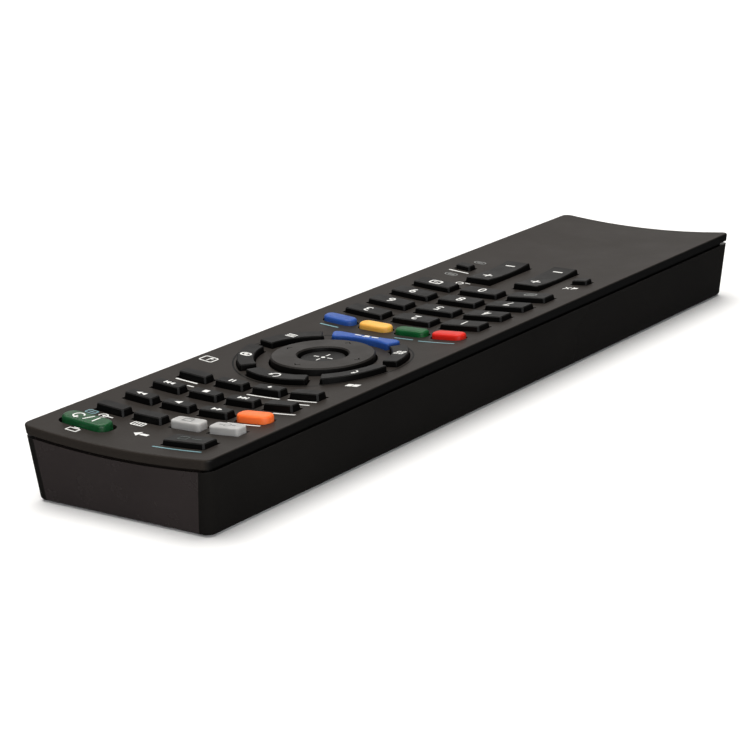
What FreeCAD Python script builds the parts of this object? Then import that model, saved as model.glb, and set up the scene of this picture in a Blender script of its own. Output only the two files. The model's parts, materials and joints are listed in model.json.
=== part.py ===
import FreeCAD, Part
import os
import Sketcher

# Hand-held TV remote control, millimetres.
# Frame: origin in the middle of the underside, Z up. The infrared end faces -Y and the battery end faces +Y.
# Somebody holding the remote looks from +Y towards -Y, so the user's left hand is at +X.

SIZES = {
    # Housing, outside
    "body_width": (49.0, "across the deck's top edges"),
    "body_length": (208.0, "over both ends, at the deck"),
    "side_height": (16.2, "underside to the deck's edge, along the sides"),
    "deck_dish": (1.4, "how far the deck is hollowed across its width"),
    "side_inset": (1.9, "each side leans in by this much down to the underside"),
    "front_inset": (1.15, "the same at the infrared end"),
    "tail_inset": (1.0, "the same at the battery end"),
    "corner_radius": (2.2, "upright corners of the housing"),
    "deck_edge_round": (0.45, "rounding along the deck's outer edge"),
    "base_edge_round": (0.9, "rounding along the underside's edge"),
    # Housing, walls and seam
    "cover_edge": (1.9, "height of the top cover's visible edge"),
    "seam_gap": (0.7, "shadow gap between top cover and rear cover"),
    "rim_inset": (1.55, "top cover's inner rim, in from the deck's outline"),
    "tongue_thickness": (0.8, "top cover's inner rim"),
    "tongue_corner": (1.7, "upright corners of that rim"),
    "tongue_inner_corner": (1.2, "the same, on its inside"),
    "tongue_clearance": (0.1, "between that rim and the rear cover"),
    "ledge_height": (11.2, "step in the rear cover that the rim stands on"),
    "side_wall": (1.95, "rear cover's side and end walls"),
    "floor_thickness": (1.8, "rear cover's floor"),
    "hook_length": (6.0, "snap hooks along the rim"),
    "hook_depth": (0.3, "how far a snap hook stands out"),
    "hook_height": (0.7, "height of a snap hook"),
    "hook_rise": (0.7, "snap hook above the step"),
    "hook_pitch": (42.0, "spacing of the snap hooks"),
    # Infrared window
    "pillar_width": (2.8, "rear cover's corner post beside the window"),
    "window_thickness": (1.25, "window at its lower edge"),
    "window_clearance": (0.06, "round the window"),
    "window_flange": (0.8, "thickness of the flange behind the corner posts"),
    "window_flange_overlap": (0.9, "how far the flange reaches behind a post"),
    "window_slot_spare": (0.5, "depth of the flange's slot beyond its thickness"),
    # Keys, common
    "key_gap": (0.28, "between a key and its hole in the deck"),
    "key_lip": (0.7, "flange that keeps a key under the deck"),
    "flange_thickness": (0.8, "flange under the deck"),
    "key_play": (0.05, "between flange and deck at rest"),
    "key_travel": (0.8, "press of a key"),
    "press_clearance": (0.1, "left under a key that is pressed right down"),
    "key_taper": (8.0, "lean of a black or white key's sides above the deck, degrees"),
    "key_corner": (0.35, "broken upright corners of a black or white key"),
    "key_chamfer": (0.2, "broken edge round a black key's top"),
    "white_chamfer": (0.4, "broken edge round a white key's top"),
    "pill_round": (0.55, "rounding of a coloured key's top"),
    "cap_spare": (0.6, "extra height of a cap before its top is cut along the deck"),
    # Power key and input key
    "power_width": (12.7, "power key"),
    "power_depth": (4.9, "power key"),
    "power_corner": (2.0, "power key's corners"),
    "power_rise": (2.0, "power key above the deck"),
    "power_x": (14.0, "power key from the middle"),
    "input_width": (10.7, "input key"),
    "input_depth": (4.7, "input key"),
    "input_rise": (1.05, "input key above the deck"),
    "input_x": (12.8, "input key from the middle"),
    "first_row_y": (95.5, "power and input keys from the middle"),
    # Media block, four by four
    "block_pitch_x": (9.9, "columns"),
    "block_pitch_y": (8.65, "rows"),
    "block_first_y": (86.5, "first row from the middle"),
    "block_key_width": (7.6, "media key"),
    "block_key_depth": (3.3, "media key"),
    "block_key_rise": (1.4, "media key above the deck"),
    "white_key_rise": (1.6, "white key above the deck"),
    "orange_width": (8.3, "orange key"),
    "orange_depth": (3.8, "orange key"),
    "orange_corner": (1.6, "orange key's corners"),
    "orange_rise": (1.9, "orange key above the deck"),
    # Navigation cluster
    "nav_y": (35.7, "centre of the ring from the middle"),
    "ring_radius": (11.4, "navigation ring, outside"),
    "ring_bore": (5.6, "navigation ring, inside"),
    "ring_rise": (1.65, "ring above the deck's lowest line"),
    "ring_skin": (1.3, "ring's top plate"),
    "ring_skirt": (1.0, "ring's outer and inner skirts"),
    "ring_gap": (0.45, "between ring and deck"),
    "ring_tilt": (2.2, "rocking of the ring each way, degrees"),
    "notch_radius": (9.4, "direction notches from the ring's centre"),
    "notch_length": (1.5, "direction notch"),
    "notch_width": (0.35, "direction notch"),
    "notch_depth": (0.25, "direction notch"),
    "ring_chamfer": (0.3, "broken edges of the ring and of the centre button"),
    "ok_radius": (5.1, "centre button"),
    "ok_drop": (0.85, "centre button's top below the ring's top"),
    "ok_flange_radius": (6.0, "centre button's flange"),
    "ok_flange_clear": (0.074, "left over that flange when the ring is rocked both ways at once"),
    "ok_dome": (0.35, "raised pad of the mat under the centre button"),
    "base_thickness": (0.7, "ring base"),
    "base_outer": (12.6, "ring base, outside radius"),
    "base_inner": (6.7, "ring base, inside radius"),
    "ridge_width": (1.0, "rocking ridges of the ring and its base"),
    "ridge_length": (1.2, "the same, along the axis"),
    "base_clear": (0.416, "left under the ring base when it is rocked right over"),
    "ring_clear": (0.212, "left under the ring when it is rocked right over"),
    "nav_web": (0.4, "keypad mat under the ring"),
    "nav_well": (13.4, "radius of the thin place in the mat"),
    "arc_inner": (14.9, "curved keys, inside radius"),
    "arc_outer": (18.6, "curved keys, outside radius"),
    "arc_corner": (0.4, "curved keys' corners"),
    "arc_rise": (1.3, "curved keys above the deck"),
    "arc_top_span": (51.0, "curved key nearest the infrared end, degrees"),
    "arc_side_span": (48.5, "the other curved keys, degrees"),
    "arc_upper_turn": (59.5, "upper side keys' middle from the top key's, degrees"),
    "arc_lower_turn": (118.5, "lower side keys' middle from the top key's, degrees"),
    "home_span": (60.0, "home key, degrees"),
    "home_far_edge": (17.0, "home key's straight edge from the ring's centre"),
    "home_rise": (1.5, "home key above the deck"),
    "home_corner": (1.0, "home key's corners"),
    # Colour keys
    "colour_y": (9.3, "row of colour keys from the middle"),
    "colour_width": (8.3, "colour key"),
    "colour_depth": (3.6, "colour key"),
    "colour_corner": (1.5, "colour key's corners"),
    "colour_rise": (1.6, "colour key above the deck"),
    # Number keys
    "number_pitch_x": (13.3, "columns"),
    "number_pitch_y": (9.15, "rows"),
    "number_first_y": (0.6, "first row from the middle"),
    "number_width": (10.6, "number key"),
    "number_depth": (4.9, "number key"),
    "number_rise": (1.15, "number key above the deck"),
    # Rockers and the two small keys beside them
    "rocker_x": (6.8, "rocker from the middle"),
    "rocker_y": (44.0, "rockers from the middle"),
    "rocker_width": (6.8, "rocker"),
    "rocker_length": (18.2, "rocker"),
    "rocker_rise": (1.4, "rocker's ends above the deck"),
    "rocker_hollow": (0.5, "hollow along the rocker's top"),
    "rocker_tilt": (2.5, "rocking each way, degrees"),
    "rocker_gap": (0.4, "between rocker and deck"),
    "rocker_clear": (0.144, "left between flange and cover when the rocker is right over"),
    "rocker_flange": (14.0, "rocker's flange, along it"),
    "rocker_end_lift": (0.4, "underside of the rocker's ends above the cover's underside"),
    "rocker_neck": (0.1, "how far the neck runs up into the rocker"),
    "rocker_ridge": (1.0, "mat's ridge under a rocker"),
    "rocker_ridge_inset": (0.5, "that ridge's ends, in from the rocker's sides"),
    "rocker_pad": (6.0, "mat's pads from that ridge"),
    "small_x": (16.6, "small key from the middle"),
    "small_y": (44.4, "small keys from the middle"),
    "small_width": (4.2, "small key"),
    "small_depth": (3.0, "small key"),
    "small_rise": (1.05, "small key above the deck"),
    # Keypad mat and circuit board
    "dome_height": (0.9, "raised pad of the mat under a key"),
    "dome_width": (3.4, "the same"),
    "dome_depth": (2.2, "the same"),
    "mat_thickness": (1.0, "keypad mat"),
    "mat_width": (41.6, "keypad mat"),
    "board_thickness": (1.6, "circuit board"),
    "board_width": (40.6, "circuit board"),
    "board_front": (98.6, "circuit board's front edge from the middle"),
    "board_tail": (51.2, "circuit board's rear edge from the middle"),
    "board_post_radius": (2.2, "posts that carry the board"),
    "board_peg_radius": (0.9, "pegs on those posts"),
    "board_peg_clearance": (0.06, "round the pegs"),
    "board_peg_drop": (0.1, "pegs' tops below the board's face"),
    "board_corner": (1.0, "corners of board and mat"),
    "board_post_x": (15.0, "posts from the middle"),
    "board_post_pitch": (92.0, "posts along the board"),
    "board_post_first": (80.0, "first pair of posts from the middle"),
    "led_slot_width": (7.0, "slot in board and mat for the infrared diode"),
    "led_slot_length": (9.0, "the same"),
    "led_radius": (2.5, "infrared diode"),
    "led_rim_radius": (2.9, "infrared diode's rim"),
    "led_rim": (1.0, "infrared diode's rim"),
    "led_body": (5.0, "infrared diode behind its dome"),
    "led_nose": (1.3, "infrared diode's nose, radius at its tip"),
    "led_gap": (0.3, "between the diode and the window"),
    "led_root": (0.2, "how far the leads run into the diode and past the slot"),
    "led_lead": (0.5, "diode's leads"),
    "led_lead_pitch": (2.54, "diode's leads"),
    "led_lead_reach": (3.5, "leads under the board"),
    "chip_length": (10.2, "controller chip"),
    "chip_width": (6.4, "controller chip"),
    "chip_thickness": (1.7, "controller chip"),
    "chip_corner": (0.2, "controller chip's upright corners"),
    "chip_standoff": (0.1, "between chip and board"),
    "chip_y": (18.0, "controller chip from the middle"),
    "chip_leg": (0.4, "width of the chip's legs"),
    "chip_leg_sheet": (0.2, "thickness of the chip's legs"),
    "chip_leg_pitch": (1.27, "chip's legs"),
    "chip_leg_reach": (1.0, "chip's legs beyond its body"),
    "resonator_width": (6.0, "ceramic resonator"),
    "resonator_depth": (2.6, "ceramic resonator"),
    "resonator_height": (4.2, "ceramic resonator"),
    "resonator_corner": (0.5, "ceramic resonator's upright corners"),
    "resonator_x": (11.0, "ceramic resonator from the middle"),
    "resonator_y": (26.0, "ceramic resonator from the middle"),
    # Battery bay
    "bay_tail": (100.9, "tail end of the battery bay from the middle"),
    "bay_wall": (1.0, "wall between board and bay"),
    "bay_roof": (0.6, "roof of the bay"),
    "bay_side": (1.0, "side walls of the bay"),
    "cell_radius": (5.15, "AAA cell"),
    "cell_length": (43.7, "AAA cell without its nub"),
    "cell_nub": (0.8, "AAA cell's nub"),
    "cell_nub_radius": (1.9, "AAA cell's nub"),
    "cell_x": (5.9, "cells from the middle"),
    "cell_clearance": (0.12, "round a cell"),
    "plate_thickness": (0.4, "contact plates"),
    "plate_height": (8.4, "contact plates"),
    "plate_width": (9.4, "contact plates"),
    "spring_length": (3.0, "contact springs, pressed by the cells"),
    "spring_wire": (0.5, "contact springs"),
    "spring_seat": (0.02, "left between a spring and its plate, and between a spring and its cell"),
    "spring_turns": (2.5, "contact springs"),
    "spring_large": (3.7, "contact spring's radius at the plate"),
    "spring_small": (2.2, "contact spring's radius at the cell"),
    # Battery door
    "door_width": (36.0, "battery door"),
    "door_clearance": (0.15, "round the battery door"),
    "door_recess": (0.1, "door's face above the underside"),
    "door_thickness": (1.5, "battery door"),
    "door_tongue": (0.8, "door's side tongues beyond its edge"),
    "door_tongue_height": (0.65, "thickness of those tongues"),
    "door_front": (52.0, "battery door's front edge from the middle"),
    "door_tongue_end": (3.0, "door's side tongues end this far before the bay's tail end"),
    "rail_height": (1.0, "raised floor over the door's tongues"),
    "rail_margin": (1.0, "raised floor beyond the tongues"),
    "screw_x": (15.0, "case screws from the middle"),
    "screw_y": (76.0, "case screws from the middle"),
    "screw_radius": (1.0, "case screws"),
    "screw_length": (7.2, "case screws under the head"),
    "screw_head_radius": (1.9, "case screws"),
    "screw_head": (1.4, "case screws"),
    "screw_seat": (4.2, "height at which the heads bear"),
    "screw_clearance": (0.03, "round the screws"),
    "screw_head_room": (0.3, "round the screws' heads"),
    "screw_root": (0.2, "how far the shank runs into the head"),
    "screw_boss": (3.2, "rear cover's screw boss"),
    "screw_boss_top": (6.4, "rear cover's screw boss"),
    "cover_boss": (2.4, "top cover's screw boss"),
    "boss_gap": (0.2, "between the two bosses"),
    "cross_width": (0.5, "cross recess"),
    "cross_length": (2.2, "cross recess"),
    "cross_depth": (0.7, "cross recess"),
    "grip_width": (14.0, "finger grip of the door"),
    "grip_groove": (0.8, "grooves of the finger grip"),
    "grip_pitch": (1.7, "grooves of the finger grip"),
    "grip_depth": (0.4, "grooves of the finger grip"),
    "grip_y": (66.0, "first groove from the middle"),
    # Modelling
    "cut_over": (1.0, "how far a cut starts outside the piece"),
}

doc = FreeCAD.newDocument("TvRemoteControl")
sheet = doc.addObject("Spreadsheet::Sheet", "Sizes")
for row, (alias, (amount, note)) in enumerate(SIZES.items(), start=1):
    sheet.set("A%d" % row, str(amount))
    sheet.setAlias("A%d" % row, alias)
    sheet.set("B%d" % row, note)
doc.recompute()


def S(expression):
    """Spell the sheet's names out, so that S("a + 2 * b") reads Sizes.a + 2 * Sizes.b."""
    words = []
    word = ""
    for letter in expression + " ":
        if letter.isalnum() or letter == "_":
            word += letter
            continue
        words.append("Sizes." + word if word in SIZES else word)
        words.append(letter)
        word = ""
    return "".join(words).strip()


def value(expression):
    """What an expression of the sheet's sizes comes to, in millimetres or degrees."""
    result = sheet.evalExpression(expression)
    return float(getattr(result, "Value", result))


# Heights and lines that several pieces share, worked out from the sizes above
DECK_LOW = S("(side_height - deck_dish)")
DECK_RADIUS = S("((body_width ^ 2 / 4 + deck_dish ^ 2) / (2 * deck_dish))")
COVER_UNDER = S("(side_height - deck_dish - cover_edge)")
FLANGE_TOP = "(" + COVER_UNDER + S(" - key_play)")
FLANGE_BOTTOM = "(" + COVER_UNDER + S(" - key_play - flange_thickness)")
ROCKER_DROP = S("(rocker_flange / 2 * tan(rocker_tilt * 1 deg) + rocker_clear)")
ROCKER_BOTTOM = "(%s - %s - %s)" % (COVER_UNDER, ROCKER_DROP, S("flange_thickness"))
DOME_TOP = "(" + FLANGE_BOTTOM + S(" - key_travel - press_clearance)")
MAT_TOP = "(" + DOME_TOP + S(" - dome_height)")
BOARD_TOP = "(" + MAT_TOP + S(" - mat_thickness)")
BOARD_BOTTOM = "(" + BOARD_TOP + S(" - board_thickness)")
NAV_FLOOR = "(" + BOARD_TOP + S(" + nav_web)")
MAT_RIDGE = S("(base_outer * tan(ring_tilt * 1 deg) + base_clear)")
BASE_RIDGE = S("(ring_radius * tan(ring_tilt * 1 deg) + ring_clear)")
BASE_BOTTOM = "(%s + %s + %s)" % (NAV_FLOOR, MAT_RIDGE, S("key_play"))
RING_BOTTOM = "(%s + %s + %s)" % (BASE_BOTTOM, BASE_RIDGE, S("base_thickness + key_play"))
RING_TOP = "(" + DECK_LOW + S(" + ring_rise)")
FLANGE_GAP = S("(ok_flange_radius * tan(sqrt(2) * ring_tilt * 1 deg) + ok_flange_clear)")
OK_BOTTOM = "(" + NAV_FLOOR + S(" + ok_dome + key_travel + press_clearance)")
INNER_END = S("(body_length / 2 - front_inset - side_wall)")
WINDOW_BACK = S("(body_length / 2 - front_inset - window_thickness)")
CELL_HEIGHT = S("(door_recess + door_thickness + cell_clearance + cell_radius)")
ROOF_UNDER = S("(door_recess + door_thickness + 2 * cell_clearance + 2 * cell_radius)")
OVER = S("cut_over")


def datum(body, role):
    """One of the body's own origin planes or axes."""
    return next(f for f in body.Origin.OriginFeatures if f.Role == role)


def new_body(label, x="0", y="0", z="0"):
    """A body whose place is bound to the sheet."""
    body = doc.addObject("PartDesign::Body", label)
    body.Label = label
    for axis, expression in (("x", x), ("y", y), ("z", z)):
        if expression != "0":
            body.setExpression("Placement.Base." + axis, expression)
    return body


def new_sketch(body, name, role="XY_Plane", x="0", y="0", z="0", turn=None):
    """A sketch on an origin plane, moved in that plane by x and y, and off it by z."""
    sketch = body.newObject("Sketcher::SketchObject", name)
    sketch.AttachmentSupport = [(datum(body, role), "")]
    sketch.MapMode = "FlatFace"
    if turn is not None:
        sketch.AttachmentOffset = FreeCAD.Placement(
            FreeCAD.Vector(0, 0, 0), FreeCAD.Rotation(FreeCAD.Vector(0, 0, 1), value(turn))
        )
        sketch.setExpression("AttachmentOffset.Rotation.Angle", turn)
    for axis, expression in (("x", x), ("y", y), ("z", z)):
        if expression != "0":
            sketch.setExpression("AttachmentOffset.Base." + axis, expression)
    return sketch


def bind(sketch, constraint, expression):
    """Add a dimension to a sketch and bind it to the sheet."""
    index = sketch.addConstraint(constraint)
    sketch.setExpression("Constraints[%d]" % index, expression)


def rounded_rectangle(sketch, width, depth, radius):
    """A rectangle with round corners, centred on the sketch's origin."""
    x, y, r = value(width) / 2, value(depth) / 2, value(radius)
    V = FreeCAD.Vector
    corners = ((1, -1, -90), (1, 1, 0), (-1, 1, 90), (-1, -1, 180))
    lines = (
        (V(r - x, -y, 0), V(x - r, -y, 0)),
        (V(x, r - y, 0), V(x, y - r, 0)),
        (V(x - r, y, 0), V(r - x, y, 0)),
        (V(-x, y - r, 0), V(-x, r - y, 0)),
    )
    radians = FreeCAD.Units.parseQuantity("1 deg").getValueAs("rad").Value
    sides, bends = [], []
    for (start, end), (sx, sy, angle) in zip(lines, corners):
        sides.append(sketch.addGeometry(Part.LineSegment(start, end)))
        circle = Part.Circle(V(sx * (x - r), sy * (y - r), 0), V(0, 0, 1), r)
        arc = Part.ArcOfCircle(circle, angle * radians, (angle + 90) * radians)
        bends.append(sketch.addGeometry(arc))
    for i in range(4):
        sketch.addConstraint(Sketcher.Constraint("Tangent", sides[i], 2, bends[i], 1))
        sketch.addConstraint(Sketcher.Constraint("Tangent", bends[i], 2, sides[(i + 1) % 4], 1))
        sketch.addConstraint(Sketcher.Constraint("Horizontal" if i % 2 == 0 else "Vertical", sides[i]))
    for i in range(1, 4):
        sketch.addConstraint(Sketcher.Constraint("Equal", bends[0], bends[i]))
    sketch.addConstraint(Sketcher.Constraint("Symmetric", bends[1], 3, bends[3], 3, -1, 1))
    bind(sketch, Sketcher.Constraint("Radius", bends[0], r), radius)
    bind(
        sketch,
        Sketcher.Constraint("DistanceX", bends[3], 3, bends[1], 3, 2 * (x - r)),
        "%s - 2 * (%s)" % (width, radius),
    )
    bind(
        sketch,
        Sketcher.Constraint("DistanceY", bends[3], 3, bends[1], 3, 2 * (y - r)),
        "%s - 2 * (%s)" % (depth, radius),
    )


def rectangle(sketch, width, depth):
    """A plain rectangle centred on the sketch's origin."""
    x, y = value(width) / 2, value(depth) / 2
    V = FreeCAD.Vector
    points = (V(-x, -y, 0), V(x, -y, 0), V(x, y, 0), V(-x, y, 0))
    sides = [sketch.addGeometry(Part.LineSegment(points[i], points[(i + 1) % 4])) for i in range(4)]
    for i in range(4):
        sketch.addConstraint(Sketcher.Constraint("Coincident", sides[i], 2, sides[(i + 1) % 4], 1))
        sketch.addConstraint(Sketcher.Constraint("Horizontal" if i % 2 == 0 else "Vertical", sides[i]))
    sketch.addConstraint(Sketcher.Constraint("Symmetric", sides[0], 1, sides[1], 2, -1, 1))
    bind(sketch, Sketcher.Constraint("DistanceX", sides[0], 1, sides[0], 2, 2 * x), width)
    bind(sketch, Sketcher.Constraint("DistanceY", sides[1], 1, sides[1], 2, 2 * y), depth)


def polygon(sketch, points):
    """A closed outline through points that are pairs of expressions."""
    V = FreeCAD.Vector
    spots = [V(value(px), value(py), 0) for px, py in points]
    count = len(spots)
    sides = [sketch.addGeometry(Part.LineSegment(spots[i], spots[(i + 1) % count])) for i in range(count)]
    for i in range(count):
        sketch.addConstraint(Sketcher.Constraint("Coincident", sides[i], 2, sides[(i + 1) % count], 1))
    for side, spot, (px, py) in zip(sides, spots, points):
        bind(sketch, Sketcher.Constraint("DistanceX", -1, 1, side, 1, spot.x), px)
        bind(sketch, Sketcher.Constraint("DistanceY", -1, 1, side, 1, spot.y), py)


def circle(sketch, radius):
    """A circle about the sketch's origin."""
    ring = sketch.addGeometry(Part.Circle(FreeCAD.Vector(0, 0, 0), FreeCAD.Vector(0, 0, 1), value(radius)))
    sketch.addConstraint(Sketcher.Constraint("Coincident", ring, 3, -1, 1))
    bind(sketch, Sketcher.Constraint("Radius", ring, value(radius)), radius)


def pad(body, sketch, length, name, taper=None, both=False, down=False):
    """Raise a sketch into a solid."""
    feature = body.newObject("PartDesign::Pad", name)
    feature.Profile = sketch
    feature.setExpression("Length", length)
    feature.Midplane = both
    feature.Reversed = down
    feature.Refine = False
    if taper is not None:
        feature.setExpression("TaperAngle", taper)
    body.Tip = feature
    return feature


def pocket(body, sketch, name, depth=None, up=False, both=False):
    """Cut a sketch out of the solid, right through unless a depth is given."""
    feature = body.newObject("PartDesign::Pocket", name)
    feature.Profile = sketch
    feature.Refine = False
    if depth is None:
        feature.Type = "ThroughAll"
        feature.Midplane = True
    else:
        feature.setExpression("Length", depth)
        feature.Reversed = up
        feature.Midplane = both
    body.Tip = feature
    return feature


def rows_and_columns(body, feature, name, across=None, along=None):
    """Repeat a feature across X and along Y. Each of them is a span and a count."""
    grid = body.newObject("PartDesign::MultiTransform", name)
    grid.Originals = [feature]
    grid.Refine = False
    patterns = []
    for axis, run in (("X_Axis", across), ("Y_Axis", along)):
        if run is None:
            continue
        pattern = doc.addObject("PartDesign::LinearPattern", name + "_" + axis[0].lower())
        pattern.Direction = (datum(body, axis), [""])
        pattern.Occurrences = run[1]
        pattern.setExpression("Length", run[0])
        patterns.append(pattern)
    grid.Transformations = patterns
    body.Tip = grid
    return grid


SAME = 0.01  # two lengths closer than this count as one, when edges are picked


def edges_where(feature, test):
    """Names of a feature's edges whose middle and box pass a test."""
    names = []
    for index, edge in enumerate(feature.Shape.Edges, start=1):
        middle = edge.valueAt((edge.FirstParameter + edge.LastParameter) / 2)
        if test(middle, edge.BoundBox):
            names.append("Edge%d" % index)
    return names


def soften(body, base, kind, size, name, test):
    """Fillet or chamfer those edges of the base feature that pass the test."""
    doc.recompute()
    feature = body.newObject("PartDesign::" + kind, name)
    feature.Base = (base, edges_where(base, test))
    feature.setExpression("Radius" if kind == "Fillet" else "Size", size)
    body.Tip = feature
    return feature


def deck_height(x):
    """The deck's height at a distance from the middle line, as an expression."""
    return "(%s + %s - sqrt(%s ^ 2 - (%s) ^ 2))" % (DECK_LOW, DECK_RADIUS, DECK_RADIUS, x)


def side_half(height, inset, clearance="0"):
    """Half the width at a height, between lines that are parallel with the leaning sides."""
    return "(%s - %s - %s * (1 - (%s) / %s) + (%s))" % (
        S("body_width / 2"), inset, S("side_inset"), height, S("side_height"), clearance
    )


def leaning_profile(body, name, low, high, inset, clearance="0", z="0"):
    """A trapezium seen along the remote, with the lean of the housing's sides."""
    sketch = new_sketch(body, name, "XZ_Plane", z=z)
    below, above = side_half(low, inset, clearance), side_half(high, inset, clearance)
    polygon(sketch, (("-" + below, low), (below, low), (above, high), ("-" + above, high)))
    return sketch


def lean_end(body, name, way, inset):
    """Cut the lean of an end. The infrared end is way -1 and the battery end is way 1."""
    sketch = new_sketch(body, name + "_line", "YZ_Plane")
    end = "(%d * %s)" % (way, S("body_length / 2"))
    foot = "(%d * %s)" % (way, S("(body_length / 2 - %s)" % inset))
    polygon(sketch, ((end, "0"), (end, S("side_height")), (foot, "0")))
    return pocket(body, sketch, name)


def outer_form(body, base_edge=False):
    """The whole housing's outside, leaning in towards the underside on all four sides."""
    profile = leaning_profile(body, "outside_line", "0", S("side_height"), "0")
    pad(body, profile, S("body_length"), "outside", both=True)
    lean_end(body, "infrared_end", -1, "front_inset")
    form = lean_end(body, "battery_end", 1, "tail_inset")
    form = soften(
        body, form, "Fillet", S("corner_radius"), "upright_edges",
        lambda middle, box: box.ZLength > value(S("side_height / 2")),
    )
    if base_edge:
        form = soften(
            body, form, "Fillet", S("base_edge_round"), "base_edge",
            lambda middle, box: abs(middle.z) < SAME and box.ZLength < SAME,
        )
    return form


def dish_sketch(body, name, inner, outer=None, x="0", floor="0"):
    """Circle or ring about the deck's axis, seen along the remote, in a body whose height is floor."""
    sketch = new_sketch(body, name, "XZ_Plane", x=x, y="%s + %s - (%s)" % (DECK_LOW, DECK_RADIUS, floor))
    circle(sketch, inner)
    if outer is not None:
        circle(sketch, outer)
    return sketch


# Keys. Each is a cap that comes up through its hole and a flange that stays under the deck.
nodes = []


def keep(piece):
    """Put a finished piece on the list of those that are written out."""
    nodes.append(piece)
    return piece


def block(body, name, width, depth, height, x="0", y="0", z="0", corner=None):
    """Add a block that stands on the height z, centred on x and y."""
    sketch = new_sketch(body, name + "_outline", x=x, y=y, z=z)
    if corner is None:
        rectangle(sketch, width, depth)
    else:
        rounded_rectangle(sketch, width, depth, corner)
    return pad(body, sketch, height, name)


def cavity(body, name, width, depth, height, x="0", y="0", z="0", corner=None):
    """Take such a block away."""
    sketch = new_sketch(body, name + "_outline", x=x, y=y, z=z)
    if corner is None:
        rectangle(sketch, width, depth)
    else:
        rounded_rectangle(sketch, width, depth, corner)
    return pocket(body, sketch, name, height, up=True)


def post(body, name, radii, height, x="0", y="0", z="0"):
    """Add a round post or, with two radii, a tube."""
    sketch = new_sketch(body, name + "_outline", x=x, y=y, z=z)
    for radius in radii:
        circle(sketch, radius)
    return pad(body, sketch, height, name)


def bore(body, name, radii, height=None, x="0", y="0", z="0"):
    """Take a round hole or, with two radii, a ring away."""
    sketch = new_sketch(body, name + "_outline", x=x, y=y, z=z)
    for radius in radii:
        circle(sketch, radius)
    return pocket(body, sketch, name, height, up=True)


def hole(body, name, width, depth, x, y, corner=None):
    """A key's hole, right through, with square or round corners."""
    sketch = new_sketch(body, name + "_outline", x=x, y=y)
    if corner is None:
        rectangle(sketch, width, depth)
    else:
        rounded_rectangle(sketch, width, depth, corner)
    return pocket(body, sketch, name)


def sector(sketch, inner, outer, span):
    """A piece of a ring about the sketch's origin, equally far to both sides of its X axis."""
    r0, r1, half = value(inner), value(outer), value(span) / 2
    unit = FreeCAD.Units.parseQuantity("1 deg").getValueAs("rad").Value
    V = FreeCAD.Vector
    turn = FreeCAD.Rotation(V(0, 0, 1), half)
    arcs = []
    for r in (r0, r1):
        ring = Part.Circle(V(0, 0, 0), V(0, 0, 1), r)
        arcs.append(sketch.addGeometry(Part.ArcOfCircle(ring, -half * unit, half * unit)))
        sketch.addConstraint(Sketcher.Constraint("Coincident", arcs[-1], 3, -1, 1))
    upper = turn.multVec(V(1, 0, 0))
    lower = turn.inverted().multVec(V(1, 0, 0))
    ends = []
    for end, way in ((1, lower), (2, upper)):
        line = sketch.addGeometry(Part.LineSegment(way * r0, way * r1))
        sketch.addConstraint(Sketcher.Constraint("Coincident", line, 1, arcs[0], end))
        sketch.addConstraint(Sketcher.Constraint("Coincident", line, 2, arcs[1], end))
        ends.append(line)
    sketch.addConstraint(Sketcher.Constraint("PointOnObject", -1, 1, ends[1]))
    sketch.addConstraint(Sketcher.Constraint("Symmetric", arcs[0], 1, arcs[0], 2, -1))
    sketch.addConstraint(Sketcher.Constraint("Symmetric", arcs[1], 1, arcs[1], 2, -1))
    bind(sketch, Sketcher.Constraint("Radius", arcs[0], r0), inner)
    bind(sketch, Sketcher.Constraint("Radius", arcs[1], r1), outer)
    bind(sketch, Sketcher.Constraint("Angle", ends[1], half * unit), "(%s) / 2 * 1 deg" % span)


def grown(size, clearance, sides=2):
    """A size with a clearance added on both sides."""
    return "(%s + %d * (%s))" % (size, sides, clearance)


def lies_flat(box):
    """Whether an edge runs more along the deck than up and down."""
    return box.ZLength < box.XLength + box.YLength


def hollow_top(body, rise, floor):
    """Hollow a curved key's top as the deck is hollowed."""
    return pocket(body, dish_sketch(body, "top_hollow", "%s - %s" % (DECK_RADIUS, rise), floor=floor), "top")


def leaning_cap(body, width, depth, x, rise, floor):
    """The part of a straight key above the deck: sides that lean in, and a top that slopes as the deck does."""
    foot = "(%s - %s)" % (deck_height(x), floor)
    lean = "tan(%s * 1 deg)" % S("key_taper")
    half = "(%s / 2)" % width
    left, right = ("(%s + %s - %s)" % (deck_height("%s %s %s" % (x, way, half)), rise, floor) for way in "-+")
    sketch = new_sketch(body, "cap_outline", "XZ_Plane")
    polygon(
        sketch,
        (
            ("-" + half, foot),
            (half, foot),
            ("%s - (%s - %s) * %s" % (half, right, foot, lean), right),
            ("-(%s - (%s - %s) * %s)" % (half, left, foot, lean), left),
        ),
    )
    pad(body, sketch, depth, "cap", both=True)
    ends = new_sketch(body, "cap_ends_outline", "YZ_Plane")
    end = "(%s / 2)" % depth
    beyond = "(%s + %s)" % (end, OVER)
    top = "(%s + %s + %s)" % (foot, rise, OVER)
    inward = "(%s - (%s - %s) * %s)" % (end, top, foot, lean)
    for way in ("", "-"):
        polygon(ends, ((way + end, foot), (way + beyond, foot), (way + beyond, top), (way + inward, top)))
    return pocket(body, ends, "cap_ends")


def slope_top(body, width, x, rise, floor):
    """Cut a pill-shaped key's top, sloping as the deck under it does."""
    half = "(%s / 2 + %s)" % (width, OVER)
    left, right = ("(%s + %s - %s)" % (deck_height("%s %s %s" % (x, way, half)), rise, floor) for way in "-+")
    high = "(%s + %s)" % (left, right)
    sketch = new_sketch(body, "top_line", "XZ_Plane")
    polygon(sketch, (("-" + half, left), (half, right), (half, high), ("-" + half, high)))
    return pocket(body, sketch, "top")


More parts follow.
